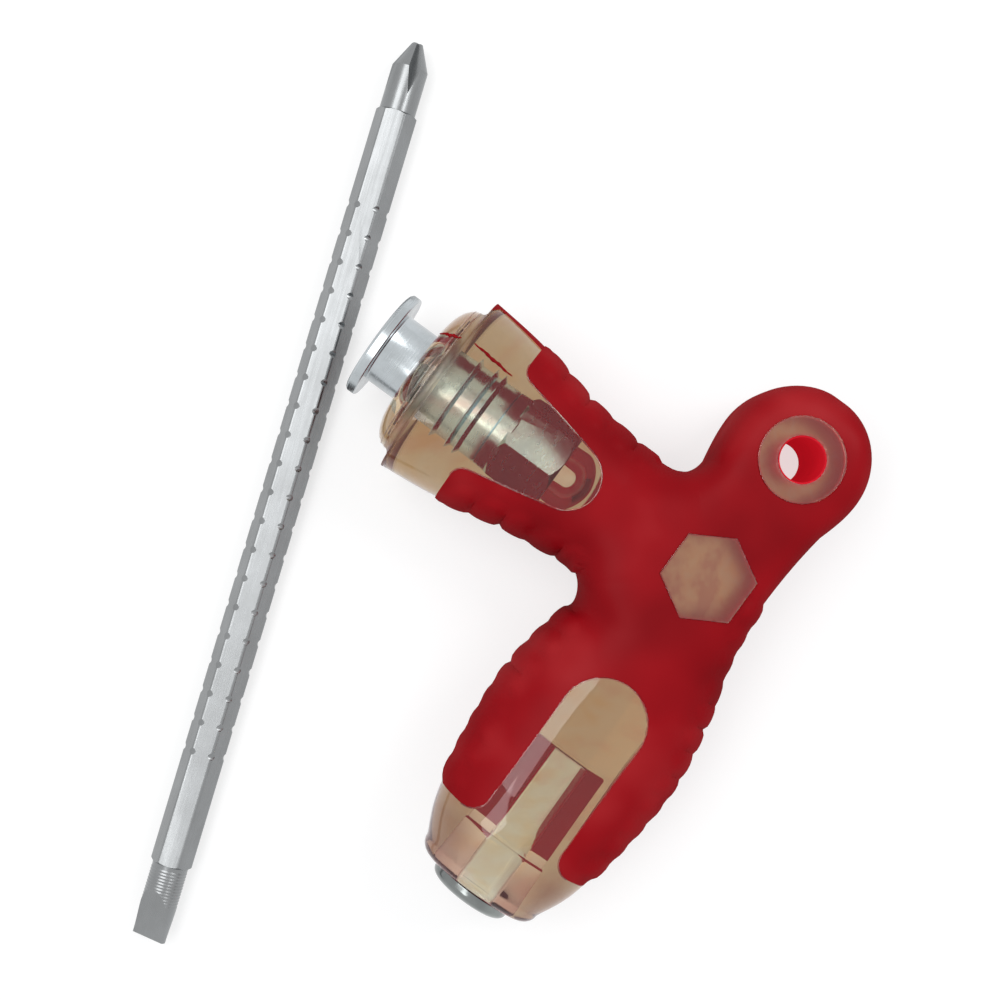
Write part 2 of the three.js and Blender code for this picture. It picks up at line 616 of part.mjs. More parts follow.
function releaseSleeve() {
  const flangeRear = SLEEVE_FRONT_X - FLANGE_THICKNESS;
  return turnedOnChuck([
    [SLEEVE_REAR_X, SPRING_POCKET_RADIUS],
    [SLEEVE_REAR_X, SLEEVE_RADIUS],
    [flangeRear, SLEEVE_RADIUS],
    [flangeRear, FLANGE_RADIUS],
    [SLEEVE_FRONT_X - FLANGE_CHAMFER, FLANGE_RADIUS],
    [SLEEVE_FRONT_X, FLANGE_RADIUS - FLANGE_CHAMFER],
    [SLEEVE_FRONT_X, camRadius(CLIP_X)],
    [CLIP_X, camRadius(CLIP_X)],
    [LAND_X, camRadius(LAND_X)],
    [LAND_X, SPRING_POCKET_RADIUS],
    [SLEEVE_REAR_X, SPRING_POCKET_RADIUS],
  ]);
}

function washer(x, radius) {
  return turnedOnChuck([
    [x, NECK_FIT_RADIUS],
    [x, radius],
    [x + WASHER_THICKNESS, radius],
    [x + WASHER_THICKNESS, NECK_FIT_RADIUS],
    [x, NECK_FIT_RADIUS],
  ]);
}

function retainingClip() {
  const inner = NECK_FIT_RADIUS - CLIP_GROOVE;
  const half = CLIP_OPENING / 2;
  const shape = new THREE.Shape();
  shape.absarc(0, 0, inner + CLIP_WALL, half, 2 * Math.PI - half, false);
  shape.absarc(0, 0, inner, 2 * Math.PI - half, half, true);
  const clip = prism(shape, 0, CLIP_THICKNESS, ROUND / 2);
  return clip.rotateY(Math.PI / 2).translate(CLIP_X, 0, MID);
}

function lockingBall(side) {
  const ball = new THREE.SphereGeometry(BALL_RADIUS, ROUND / 2, ROUND / 3);
  return ball.translate(BALL_X, side * BALL_LOCKED, MID);
}

// The spring is one tube wound round the neck, from the barrel's shoulder to its washer

class Helix extends THREE.Curve {
  constructor(radius, from, to, turns) {
    super();
    Object.assign(this, { radius, from, to, turns });
  }

  getPoint(share, target = new THREE.Vector3()) {
    const angle = share * this.turns * 2 * Math.PI;
    const x = THREE.MathUtils.lerp(this.from, this.to, share);
    return target.set(x, this.radius * Math.cos(angle), MID + this.radius * Math.sin(angle));
  }
}

function sleeveSpring() {
  const wire = SPRING_WIRE / 2;
  const inset = SLIDE_GAP + wire;
  const helix = new Helix(COIL_RADIUS, SHOULDER_X + inset, SPRING_WASHER_X - inset, SPRING_TURNS);
  const steps = Math.round(SPRING_TURNS * CURL_STEPS);
  const points = Array.from({ length: steps + 1 }, (_, i) => helix.getPoint(i / steps));
  let least = Infinity;
  points.forEach((point, i) => {
    points.slice(i + CURL_STEPS / 2).forEach((other) => {
      least = Math.min(least, point.distanceTo(other) - SPRING_WIRE);
    });
  });
  console.log(`sleeve_spring: least gap between its curls ${least.toFixed(2)} mm`);
  const section = new THREE.Shape(Array.from({ length: WIRE_SIDES }, (_, k) => {
    const angle = (k / WIRE_SIDES) * 2 * Math.PI;
    return v2(wire * Math.cos(angle), wire * Math.sin(angle));
  }));
  return new THREE.ExtrudeGeometry(section, { steps, extrudePath: helix, bevelEnabled: false });
}

// The butt: a hexagonal recess with a wider mouth, closed by a domed cap on a short spigot

function buttRecess(acrossFlats, depth) {
  const bar = hexBar(acrossFlats, BUTT_END_Y - depth, BUTT_END_Y + OVERCUT);
  return bar.rotateZ(Math.PI / 2).translate(0, 0, MID);
}

function buttCap() {
  const seat = BUTT_END_Y + CAP_FIT_GAP;
  const spigot = RECESS_HEX / 2 + RECESS_MOUTH_STEP - CAP_FIT_GAP;
  const profile = [
    [BUTT_END_Y - CAP_SPIGOT_LENGTH, 0],
    [BUTT_END_Y - CAP_SPIGOT_LENGTH, spigot],
    [seat, spigot],
    [seat, CAP_RADIUS],
  ];
  for (let i = 0; i <= ARC_STEPS; i += 1) {
    const angle = (i / ARC_STEPS) * Math.PI / 2;
    const radius = i === ARC_STEPS ? 0 : CAP_RADIUS * Math.cos(angle);
    profile.push([seat + CAP_RIM + CAP_DOME * Math.sin(angle), radius]);
  }
  return turnedOnChuck(profile).rotateZ(Math.PI / 2);
}

// The blade: a hexagonal bar with ring grooves that notch its corners, a cross point and a slot tip.
// It is drawn along X about its own middle, with the cross point at the +X end.

function bladeProfile() {
  const end = BLADE_LENGTH / 2;
  const outside = BLADE_CORNER + OVERCUT;
  const flare = (NOTCH_WIDTH - NOTCH_FLOOR_WIDTH) / (BLADE_CORNER - NOTCH_FLOOR_RADIUS) / 2;
  const floor = NOTCH_FLOOR_WIDTH / 2;
  const mouth = floor + flare * (outside - NOTCH_FLOOR_RADIUS);
  const notches = Math.floor((BLADE_LENGTH - NOTCH_FIRST - NOTCH_LAST) / NOTCH_PITCH) + 1;
  const slotNeck = SLOT_NECK_LENGTH - end;
  const crossNeck = end - CROSS_NECK_LENGTH;
  const profile = [
    [-end, 0],
    [-end, BLADE_NECK_RADIUS],
    [slotNeck - NECK_CHAMFER_LENGTH, BLADE_NECK_RADIUS],
    [slotNeck, outside],
  ];
  for (let i = notches - 1; i >= 0; i -= 1) {
    const x = end - NOTCH_FIRST - i * NOTCH_PITCH;
    profile.push(
      [x - mouth, outside],
      [x - floor, NOTCH_FLOOR_RADIUS],
      [x + floor, NOTCH_FLOOR_RADIUS],
      [x + mouth, outside],
    );
  }
  profile.push(
    [crossNeck, outside],
    [crossNeck + NECK_CHAMFER_LENGTH, BLADE_NECK_RADIUS],
    [end - CROSS_POINT_LENGTH, BLADE_NECK_RADIUS],
    [end, CROSS_TIP_RADIUS],
    [end, 0],
  );
  return profile;
}

function flute(quarter) {
  const length = 3 * CROSS_NECK_LENGTH;
  const width = 2 * BLADE_HEX;
  const cutter = new THREE.BoxGeometry(length, width, width);
  cutter.rotateX(Math.PI / 4);
  cutter.translate(0, 0, width / Math.SQRT2);
  cutter.rotateY(FLUTE_SLOPE);
  cutter.translate(BLADE_LENGTH / 2, 0, FLUTE_ROOT_RADIUS);
  return cutter.rotateX(FLUTE_ROLL + quarter * Math.PI / 2);
}

function slotGrind(side) {
  const radius = SLOT_GRIND_RADIUS;
  const wheel = new THREE.CylinderGeometry(radius, radius, 2 * BLADE_HEX, 2 * ROUND);
  wheel.translate(-BLADE_LENGTH / 2, 0, side * (radius + SLOT_TIP_THICKNESS / 2));
  return wheel.rotateX(SLOT_ROLL);
}

function blade() {
  const half = BLADE_LENGTH / 2 + OVERCUT;
  const turned = solid(turnedGeometry(bladeProfile(), BLADE_FACETS));
  const bar = turned.intersect(solid(hexBar(BLADE_HEX, -half, half)));
  const cuts = [0, 1, 2, 3].map(flute).concat([1, -1].map(slotGrind)).map(solid);
  return geometryOf(cuts.reduce((body, cut) => body.subtract(cut), bar));
}

// Materials and the assembly

function material(color, roughness, metalness, more = {}) {
  return new THREE.MeshStandardMaterial({ color, roughness, metalness, ...more });
}

const clear = material('#c9ab86', 0.08, 0, { transparent: true, opacity: 0.55 });
const red = material('#a5191e', 0.45, 0);
const plated = material('#a9acab', 0.3, 1);
const frosted = material('#8f9290', 0.5, 1);
const bright = material('#c4c3bf', 0.22, 1);

function node(name, geometry, look) {
  const mesh = new THREE.Mesh(geometry, look);
  mesh.name = name;
  return mesh;
}

const handle = new THREE.Group();
handle.add(
  node('clear_core', clearCore(), clear),
  node('red_grip', redGrip(), red),
  node('chuck_body', chuckBody(), frosted),
  node('stop_washer', washer(STOP_X, camRadius(STOP_X) - SLIDE_GAP), plated),
  node('retaining_clip', retainingClip(), plated),
  node('butt_cap', buttCap(), bright),
  node('release_sleeve', releaseSleeve(), plated),
  node('spring_washer', washer(SPRING_WASHER_X, SPRING_RADIUS), plated),
  node('sleeve_spring', sleeveSpring(), plated),
  node('locking_ball_left', lockingBall(1), bright),
  node('locking_ball_right', lockingBall(-1), bright),
);

const looseBlade = node('blade', blade(), bright);
looseBlade.position.set(
  SLEEVE_FRONT_X + BLADE_AHEAD - BLADE_SHIFT * Math.cos(BLADE_HEADING),
  -BLADE_SHIFT * Math.sin(BLADE_HEADING),
  BLADE_HEX / 2,
);
looseBlade.rotation.z = BLADE_HEADING;

const screwdriver = new THREE.Group();
screwdriver.add(handle, looseBlade);

export default screwdriver;
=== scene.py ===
import math

import bmesh
import bpy
from mathutils import Matrix, Vector


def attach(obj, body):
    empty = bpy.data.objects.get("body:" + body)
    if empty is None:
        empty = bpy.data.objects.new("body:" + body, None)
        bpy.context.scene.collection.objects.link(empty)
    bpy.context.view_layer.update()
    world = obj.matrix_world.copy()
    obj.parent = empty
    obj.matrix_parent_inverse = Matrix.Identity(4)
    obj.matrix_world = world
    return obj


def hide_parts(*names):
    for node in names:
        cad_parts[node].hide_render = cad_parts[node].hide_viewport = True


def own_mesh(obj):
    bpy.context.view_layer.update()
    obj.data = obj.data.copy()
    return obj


# Looks of a screwdriver with an angled handle: a clear core under a red grip, a sprung chuck,
# a steel butt cap and a loose blade. Shapes are drawn in millimetres about the handle's mid plane
# and are put into metres when a piece is finished.

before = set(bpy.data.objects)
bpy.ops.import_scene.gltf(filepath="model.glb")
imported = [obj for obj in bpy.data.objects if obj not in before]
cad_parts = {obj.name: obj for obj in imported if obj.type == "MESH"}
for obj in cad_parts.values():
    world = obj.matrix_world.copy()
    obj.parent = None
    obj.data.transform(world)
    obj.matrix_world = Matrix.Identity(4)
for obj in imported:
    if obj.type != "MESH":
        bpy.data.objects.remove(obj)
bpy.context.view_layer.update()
SCENE = bpy.context.scene

MM = 0.001
MID = 13.0  # height of the handle's mid plane over the floor

# Handle, as in the solids
PAD_HALF = 13.0
CROWN = 12.85
SKIN = 2.2
HUB_POWER = 5.0
ARM_POWER = 2.5
EYE_POWER = 4.5
NOSE_POWER = 2.0
CROTCH = 4.6
CHUCK_ROOT = 10.5
CHUCK_WAIST = 11.8
CHUCK_WAIST_HEIGHT = 12.2
GRIP_FRONT = 40.3
GRIP_FRONT_HALF = 14.3
GUARD = 50.0
GUARD_HALF = 15.4
NOSE_BASE = 51.2
NOSE_RADIUS = 12.8
NOSE_FRONT = 54.4
NOSE_FACE = 7.38
BUTT_ROOT = 13.4
BELLY = 30.0
BELLY_HALF = 15.7
GRIP_END = 49.2
GRIP_END_HALF = 13.6
GRIP_END_HEIGHT = 12.0
BUTT_END = 59.5
BUTT_END_HALF = 10.6
BUTT_END_HEIGHT = 9.4
BUTT_EDGE = 2.2
BACK_HALF = 9.8
BACK_Y = -1.0
EYE = Vector((-0.9, -22.5))
EYE_RADIUS = 11.5
EYE_NECK = 9.7
HOLE_RADIUS = 3.4
RING_RADIUS = 6.5
HOLE_LINING = 0.3
HUB_PAD = 7.2
ROOT_X = BUTT_ROOT + CROTCH
ROOT_Y = CHUCK_ROOT + CROTCH

# Chuck, as in the solids
TAIL_X = 27.2
TAIL_HEX = 10.3
TAIL_TURN = math.radians(17)  # the tail lies a little turned in the core
BARREL_X = 37.2
BARREL_RADIUS = 5.33
SHOULDER_X = 51.0
BARBS = (42.6, 44.1, 46.9)
BARB_RADIUS = 5.98
NECK_RADIUS = 4.15
SOCKET_HEX = 6.2
NECK_END_X = 61.66
SLEEVE_REAR = 53.7
SLEEVE_RADIUS = 5.93
SLEEVE_FRONT = 61.76
FLANGE_REAR = 59.96
FLANGE_RADIUS = 8.98
POCKET_RADIUS = 6.18
SPRING_POCKET = 5.43
BALL_X = 57.4
LAND_X = 56.9
CLIP_X = 60.46
STOP_X = 59.76
BORE_RADIUS = 3.76
BORE_END = 21.5
SPRING_WASHER_X = 56.2
SPRING_WASHER_RADIUS = 5.33
STOP_WASHER_RADIUS = 5.15
WASHER_THICK = 0.6

QUARTER_TURN = math.pi / 2


# Making meshes


def lerp(a, b, share):
    return a + (b - a) * share


def ease(share):
    share = min(max(share, 0.0), 1.0)
    return share * share * (3 - 2 * share)


def block(bm, name="block", finish=None):
    """A temporary object from a closed mesh, for cutting and joining."""
    bmesh.ops.remove_doubles(bm, verts=bm.verts, dist=1e-4)
    bmesh.ops.recalc_face_normals(bm, faces=bm.faces)
    mesh = bpy.data.meshes.new(name)
    bm.to_mesh(mesh)
    bm.free()
    if finish:
        mesh.materials.append(finish)
    made = bpy.data.objects.new(name, mesh)
    SCENE.collection.objects.link(made)
    return made


def combine(target, tool, operation):
    """Joins, cuts or crosses two closed objects and uses up the second."""
    step = target.modifiers.new("step", "BOOLEAN")
    step.operation = operation
    step.solver = "MANIFOLD"
    step.material_mode = "TRANSFER"
    step.object = tool
    graph = bpy.context.evaluated_depsgraph_get()
    mesh = bpy.data.meshes.new_from_object(target.evaluated_get(graph))
    target.modifiers.clear()
    target.data = mesh
    bpy.data.objects.remove(tool)
    return target


def cut(target, *tools):
    for tool in tools:
        combine(target, tool, "DIFFERENCE")
    return target


def join(target, *tools):
    for tool in tools:
        combine(target, tool, "UNION")
    return target


def piece(made, name, finish, body, stands_for=(), sharp=32.0, height=MID):
    """Puts a shape into metres over the floor, gives it its finish and body, and hides the parts it stands
    for.
    """
    mesh = made.data
    mesh.transform(Matrix.Scale(MM, 4) @ Matrix.Translation((0, 0, height)))
    made.name = mesh.name = name
    if finish not in mesh.materials[:]:
        mesh.materials.clear()
        mesh.materials.append(finish)
    mesh.shade_smooth()
    mesh.set_sharp_from_angle(angle=math.radians(sharp))
    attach(made, body)
    if stands_for:
        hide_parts(*stands_for)
    return made


def rotate(bm, angle, axis):
    bmesh.ops.rotate(bm, verts=bm.verts, matrix=Matrix.Rotation(angle, 3, axis))
    return bm


def shift(bm, x, y, z):
    bmesh.ops.translate(bm, verts=bm.verts, vec=(x, y, z))
    return bm


def turned(profile, steps=96, hollow=False):
    """A body turned about the chuck's axis from points of place along it and radius.

    The outline of a hollow one closes on itself, so that a hole goes through it.
    """
    bm = bmesh.new()
    verts = [bm.verts.new((along, radius, 0)) for along, radius in profile]
    after = verts[1:] + verts[:1] if hollow else verts[1:]
    edges = [bm.edges.new(pair) for pair in zip(verts, after)]
    bmesh.ops.spin(bm, geom=verts + edges, cent=(0, 0, 0), axis=(1, 0, 0),
                   angle=2 * math.pi, steps=steps, use_merge=True)
    return bm


def hex_bar(across, start, end, soften=0.0):
    """A hexagonal bar along X with a flat side up and, if wanted, rounded edges."""
    bm = bmesh.new()
    radius = across / math.sqrt(3)
    bmesh.ops.create_cone(bm, cap_ends=True, segments=6, radius1=radius, radius2=radius, depth=end - start)
    rotate(bm, QUARTER_TURN, "Y")
    top = max(bm.verts, key=lambda v: v.co.z)
    has_corner_up = abs(top.co.y) < 1e-4
    if has_corner_up:
        rotate(bm, math.pi / 6, "X")
    shift(bm, (start + end) / 2, 0, 0)
    if soften:
        bmesh.ops.bevel(bm, geom=bm.edges[:], affect="EDGES", offset=soften, segments=3,
                        profile=0.5, material=-1)
    return bm


def prism(outline, bottom, top):
    bm = bmesh.new()
    face = bm.faces.new([bm.verts.new((x, y, bottom)) for x, y in outline])
    grown = bmesh.ops.extrude_face_region(bm, geom=[face])["geom"]
    bmesh.ops.translate(bm, vec=(0, 0, top - bottom),
                        verts=[v for v in grown if isinstance(v, bmesh.types.BMVert)])
    return bm


def disc(centre, radius, bottom, top, steps=96):
    bm = bmesh.new()
    bmesh.ops.create_cone(bm, cap_ends=True, segments=steps, radius1=radius, radius2=radius,
                          depth=top - bottom)
    return shift(bm, centre.x, centre.y, (bottom + top) / 2)


def arc(centre, radius, start, end, steps=14):
    angles = [lerp(start, end, i / steps) for i in range(steps + 1)]
    return [(centre[0] + radius * math.cos(a), centre[1] + radius * math.sin(a)) for a in angles]


def circle(centre, radius, steps=72):
    return arc(centre, radius, 0, 2 * math.pi, steps)[:-1]


# The handle's form: three limbs that meet on seams from the hub to the inner corners and the back.
# A limb is a list of rows: a point on its axis, its left and right edge, its height and its power.


def superellipse(share, power):
    return max(0.0, 1 - abs(share) ** power) ** (1 / power)


def spline(points, share):
    """A point on a smooth curve through the points, by share of their number."""
    span = share * (len(points) - 1)
    k = min(int(span), len(points) - 2)
    t = span - k
    before, a = points[max(k - 1, 0)], points[k]
    b, after = points[k + 1], points[min(k + 2, len(points) - 1)]
    out = []
    for p0, p1, p2, p3 in zip(before, a, b, after):
        v0, v1 = (p2 - p0) / 2, (p3 - p1) / 2
        cubic, square = 2 * p1 - 2 * p2 + v0 + v1, 3 * p2 - 3 * p1 - 2 * v0 - v1
        out.append(cubic * t ** 3 + square * t * t + v0 * t + p1)
    return out


def spaced(points, count):
    """Points at even steps along a line of many points."""
    points = [Vector(p) for p in points]
    lengths = [0.0]
    for a, b in zip(points, points[1:]):
        lengths.append(lengths[-1] + (b - a).length)
    out, k = [], 0
    for i in range(count + 1):
        want = lengths[-1] * i / count
        while k < len(points) - 2 and lengths[k + 1] < want:
            k += 1
        share = (want - lengths[k]) / (lengths[k + 1] - lengths[k])
        out.append(points[k].lerp(points[k + 1], min(max(share, 0), 1)))
    return out


def corner_line(centre, radius, start, end, last):
    """A limb's edge round an inner corner, from one angle to another and on to a last point."""
    return arc(centre, radius, math.radians(start), math.radians(end), 30) + [last]


def back_line(inset, last):
    """A limb's edge along the bar's back, from the seam there and on to a last point."""
    x = inset - BACK_HALF
    middle = (BACK_Y + last[1]) / 2
    out = []
    for i in range(41):
        t = i / 40
        near, far = (1 - t) ** 2 + 2 * t * (1 - t), t * t
        y = (1 - t) ** 2 * BACK_Y + 2 * t * (1 - t) * middle + far * last[1]
        out.append((near * x + far * last[0], y))
    return out


def root(left, right, axis_end, height, power, steps):
    """Rows from the hub's middle out to where a limb's edges run on alone."""
    left, right = spaced(left, steps), spaced(right, steps)
    return [
        (Vector((0, 0)).lerp(axis_end, i / steps), left[i], right[i],
         lerp(CROWN, height, ease(i / steps)), lerp(HUB_POWER, power, ease(i / steps)))
        for i in range(steps + 1)
    ]


def chuck_limb(inset, fine):
    half = CHUCK_ROOT - inset
    left = corner_line((ROOT_X, ROOT_Y), CROTCH + inset, 225, 270, (ROOT_X, half))
    right = corner_line((EYE_NECK + CROTCH, -ROOT_Y), CROTCH + inset, 135, 90, (ROOT_X, -half))
    rows = root(left, right, Vector((ROOT_X, 0)), CHUCK_WAIST_HEIGHT, ARM_POWER, 4 * fine)
    waist = (ROOT_X + GRIP_FRONT) / 2
    side = [(ROOT_X, CHUCK_ROOT), (waist, CHUCK_WAIST), (GRIP_FRONT, GRIP_FRONT_HALF), (GUARD, GUARD_HALF)]

    def square(x, width, height, power):
        rows.append((Vector((x, 0)), Vector((x, width - inset)), Vector((x, inset - width)), height, power))

    for i in range(1, 24 * fine + 1):
        x, width = spline(side, i / (24 * fine))
        square(x, width, lerp(CHUCK_WAIST_HEIGHT, PAD_HALF, ease((x - waist) / (GUARD - waist))), ARM_POWER)
    for i in range(1, 3 * fine + 1):
        angle = i / (3 * fine) * QUARTER_TURN
        fall = math.sin(angle)
        square(GUARD + (NOSE_BASE - GUARD) * (1 - math.cos(angle)), lerp(GUARD_HALF, NOSE_RADIUS, fall),
               lerp(PAD_HALF, NOSE_RADIUS, fall), lerp(ARM_POWER, NOSE_POWER, fall))
    for i in range(1, 5 * fine + 1):
        angle = i / (5 * fine) * QUARTER_TURN
        radius = lerp(NOSE_FACE, NOSE_RADIUS, math.cos(angle))
        square(NOSE_BASE + (NOSE_FRONT - NOSE_BASE) * math.sin(angle), radius, radius, NOSE_POWER)
    return rows


def butt_limb(inset, fine):
    half = BUTT_ROOT - inset
    left = back_line(inset, (-half, ROOT_Y))
    right = corner_line((ROOT_X, ROOT_Y), CROTCH + inset, 225, 180, (half, ROOT_Y))
    rows = root(left, right, Vector((0, ROOT_Y)), CROWN, ARM_POWER, 8 * fine)
    corner = BUTT_END - BUTT_EDGE
    side = [(ROOT_Y, BUTT_ROOT, CROWN), (BELLY, BELLY_HALF, CROWN),
            (GRIP_END, GRIP_END_HALF, GRIP_END_HEIGHT), (corner, BUTT_END_HALF, BUTT_END_HEIGHT)]

    def square(y, width, height):
        left_edge, right_edge = Vector((inset - width, y)), Vector((width - inset, y))
        rows.append((Vector((0, y)), left_edge, right_edge, height, ARM_POWER))

    for i in range(1, 30 * fine + 1):
        square(*spline(side, i / (30 * fine)))
    for i in range(1, 3 * fine + 1):
        angle = i / (3 * fine) * QUARTER_TURN
        drawn = BUTT_EDGE * (1 - math.cos(angle))
        square(corner + BUTT_EDGE * math.sin(angle), BUTT_END_HALF - drawn, BUTT_END_HEIGHT - drawn)
    return rows


def eye_limb(inset, fine):
    front, radius = EYE_NECK - inset, EYE_RADIUS - inset
    neck = Vector((EYE.x * ROOT_Y / -EYE.y, -ROOT_Y))
    back = (2 * neck.x - front, -ROOT_Y)
    left = corner_line((EYE_NECK + CROTCH, -ROOT_Y), CROTCH + inset, 135, 180, (front, -ROOT_Y))
    rows = root(left, back_line(inset, back), neck, CROWN, EYE_POWER, 8 * fine)
    for i in range(1, 5 * fine + 1):
        axis = neck.lerp(EYE, i / (5 * fine))
        swell = math.sin(i / (5 * fine) * QUARTER_TURN)
        rows.append((axis, Vector((lerp(front, EYE.x + radius, swell), axis.y)),
                     Vector((lerp(back[0], EYE.x - radius, swell), axis.y)), CROWN, EYE_POWER))
    last = 10 * fine
    for i in range(1, last + 1):
        angle = i / last * QUARTER_TURN
        reach = 0.0 if i == last else radius * math.cos(angle)
        y = EYE.y - radius * math.sin(angle)
        height = inset + (CROWN - inset) * (0.0 if i == last else superellipse(math.sin(angle), EYE_POWER))
        left_edge, right_edge = Vector((EYE.x + reach, y)), Vector((EYE.x - reach, y))
        rows.append((Vector((EYE.x, y)), left_edge, right_edge, height, EYE_POWER))
    return rows


def limb_sheet(bm, rows, inset, sides):
    """Bends a flat grid over one limb's upper half."""
    made = bmesh.ops.create_grid(bm, x_segments=2 * sides, y_segments=len(rows) - 1, size=1)["verts"]
    for v in made:
        column = round((v.co.x + 1) * sides) - sides
        axis, left, right, height, power = rows[round((v.co.y + 1) / 2 * (len(rows) - 1))]
        share = math.sin(column / sides * QUARTER_TURN)
        place = axis.lerp(right if share < 0 else left, abs(share))
        rise = 0.0 if abs(column) == sides else superellipse(share, power)
        v.co = (place.x, place.y, (height - inset) * rise)


def handle_form(inset, fine, sides):
    """The whole handle as one closed form, drawn in by an inset."""
    bm = bmesh.new()
    for limb in (chuck_limb, butt_limb, eye_limb):
        limb_sheet(bm, limb(inset, fine), inset, sides)
    bmesh.ops.mirror(bm, geom=bm.verts[:] + bm.edges[:] + bm.faces[:], axis="Z",
                     matrix=Matrix.Identity(4), merge_dist=1e-4)
    bmesh.ops.remove_doubles(bm, verts=bm.verts, dist=2e-3)
    bmesh.ops.holes_fill(bm, edges=[e for e in bm.edges if e.is_boundary], sides=0)
    bmesh.ops.recalc_face_normals(bm, faces=bm.faces)
    return bm


def side_table(rows, along):
    """Place, half width and height for each of an arm's rows past the hub, along X (0) or Y (1)."""
    return [(axis[along], (left - right).length / 2, height)
            for axis, left, right, height, power in rows if axis[along] >= ROOT_Y - 1]


def looked_up(table, place):
    """Half width and crown height of an arm at a place along it."""
    for a, b in zip(table, table[1:]):
        if a[0] <= place <= b[0]:
            share = (place - a[0]) / max(b[0] - a[0], 1e-9)
            return lerp(a[1], b[1], share), lerp(a[2], b[2], share)
    end = table[0] if place < table[0][0] else table[-1]
    return end[1], end[2]


CHUCK_TABLE = side_table(chuck_limb(0, 2), 0)
BUTT_TABLE = side_table(butt_limb(0, 2), 1)

# Scallops along the skin's edges, by place along each edge, and the lip where the grip stops
THUMB_PITCH = 4.1
CHUCK_THUMBS = (17.6, 22.5, 27.4, 32.3, 37.1)
BACK_THUMBS = tuple(0.6 + THUMB_PITCH * k for k in range(12))
INNER_THUMBS = tuple(18.0 + THUMB_PITCH * k for k in range(8))
CHUCK_THUMB_HALF = 2.45
BAR_THUMB_HALF = 2.05
THUMB_REACH = 3.1
THUMB_RISE = 0.7
THUMB_POWER = 0.4
LIP_X = 39.7
LIP_HALF = 0.9
LIP_RISE = 0.5
LIP_REACH = 2.4


def thumb(along, inside, places, half):
    """How far the skin swells at a place, in the row of thumbs along its edge."""
    swell = 0.0
    for place in places:
        left = 1 - ((along - place) / half) ** 2 - (max(inside, 0) / THUMB_REACH) ** 2
        if left > 0:
            swell = max(swell, THUMB_RISE * left ** THUMB_POWER)
    return swell


def back_edge(y):
    """How far the bar's back stands from the axis at a place along it."""
    if y > ROOT_Y:
        return looked_up(BUTT_TABLE, y)[0]
    return lerp(BACK_HALF, BUTT_ROOT, ease((y - BACK_Y) / (ROOT_Y - BACK_Y)) * 0.9)


def skin_swell(x, y):
    """How far the skin stands out from the plain form at a place."""
    if ROOT_X - 2 < x < GRIP_FRONT and abs(y) < ROOT_Y + 4:
        inside = looked_up(CHUCK_TABLE, x)[0] - abs(y)
        lip = LIP_RISE * max(0.0, 1 - ((x - LIP_X) / LIP_HALF) ** 2) * max(0.0, 1 - inside / LIP_REACH)
        return max(thumb(x, inside, CHUCK_THUMBS, CHUCK_THUMB_HALF), lip)
    if x < 0 and y > -2:
        return thumb(y, back_edge(y) + x, BACK_THUMBS, BAR_THUMB_HALF)
    if x > 4 and y > ROOT_Y:
        return thumb(y, looked_up(BUTT_TABLE, y)[0] - x, INNER_THUMBS, BAR_THUMB_HALF)
    return 0.0


# Windows: tongues with a round end that open where the grip stops


def tongue_outline(tip, end_radius, taper, mouth, corner, grow=0.0, reach=None):
    """A tongue along X with rounded corners at its mouth. The mouth's edge runs out to a reach."""
    centre, round_end, edge = tip + end_radius, end_radius + grow, corner - grow
    cosine = math.cos(taper)
    corner_x = mouth - corner
    corner_y = round_end / cosine + (corner_x - centre) * math.tan(taper) + edge / cosine
    line = [(mouth - grow, reach or corner_y)]
    line += arc((corner_x, corner_y), edge, 0, taper - QUARTER_TURN)
    line += arc((centre, 0), round_end, QUARTER_TURN + taper, 3 * QUARTER_TURN - taper, 40)
    line += arc((corner_x, -corner_y), edge, QUARTER_TURN - taper, 0)
    line.append((mouth - grow, -(reach or corner_y)))
    return line


CHUCK_WINDOW = dict(tip=20.8, end_radius=5.2, taper=math.radians(12.2), mouth=GRIP_FRONT, corner=2.2)
BUTT_WINDOW = dict(tip=20.0, end_radius=6.8, taper=0.0, mouth=GRIP_END, corner=3.0)
FAR = 90.0  # past the handle's outline
TALL = 20.0  # past its top and bottom


def chuck_tongue(grow=0.0):
    line = tongue_outline(**CHUCK_WINDOW, grow=grow, reach=FAR)
    return prism(line + [(FAR, -FAR), (FAR, FAR)], -TALL, TALL)


def butt_tongue(grow=0.0):
    line = tongue_outline(**BUTT_WINDOW, grow=grow, reach=FAR)
    return rotate(prism(line + [(FAR, -FAR), (FAR, FAR)], -TALL, TALL), QUARTER_TURN, "Z")


def hub_hexagon(grow=0.0):
    radius = HUB_PAD + grow / math.cos(math.pi / 6)
    return [(radius * math.cos((k + 0.5) * math.pi / 3), radius * math.sin((k + 0.5) * math.pi / 3))
            for k in range(6)]


# Finishes, with places in metres as the finished pieces have them

WHITE = (1, 1, 1)
# Painted pink reflections of the red grip in the clear plastic: a light one at the hub and a darker one
# beside the butt's end
HUB_PAINTED_REFLECTION = (1, 0.89, 0.88)
BUTT_SIDE_PAINTED_REFLECTION = (0.46, 0.31, 0.33)
HOLLOW_TINT = (0.86, 0.98, 1)
PLASTIC_ABSORBS = (0.62, 0.43, 0.11, 1)
PLASTIC_DENSITY = 74.0
BLADE_HEADING = math.radians(-70.65)


def new_material(name):
    """A new material with its shader and coordinates."""
    material = bpy.data.materials.new(name)
    material.use_nodes = True
    tree = material.node_tree
    shader = tree.nodes["Principled BSDF"]
    place = tree.nodes.new("ShaderNodeTexCoord").outputs["Object"]
    return material, tree, shader, place


def stretched(tree, place, scale, turn=(0, 0, 0)):
    """Coordinates turned to a piece's own axes, then scaled along them."""
    node = tree.nodes.new("ShaderNodeMapping")
    node.vector_type = "TEXTURE"
    node.inputs["Scale"].default_value = [1 / each for each in scale]
    node.inputs["Rotation"].default_value = turn
    tree.links.new(place, node.inputs["Vector"])
    return node.outputs["Vector"]


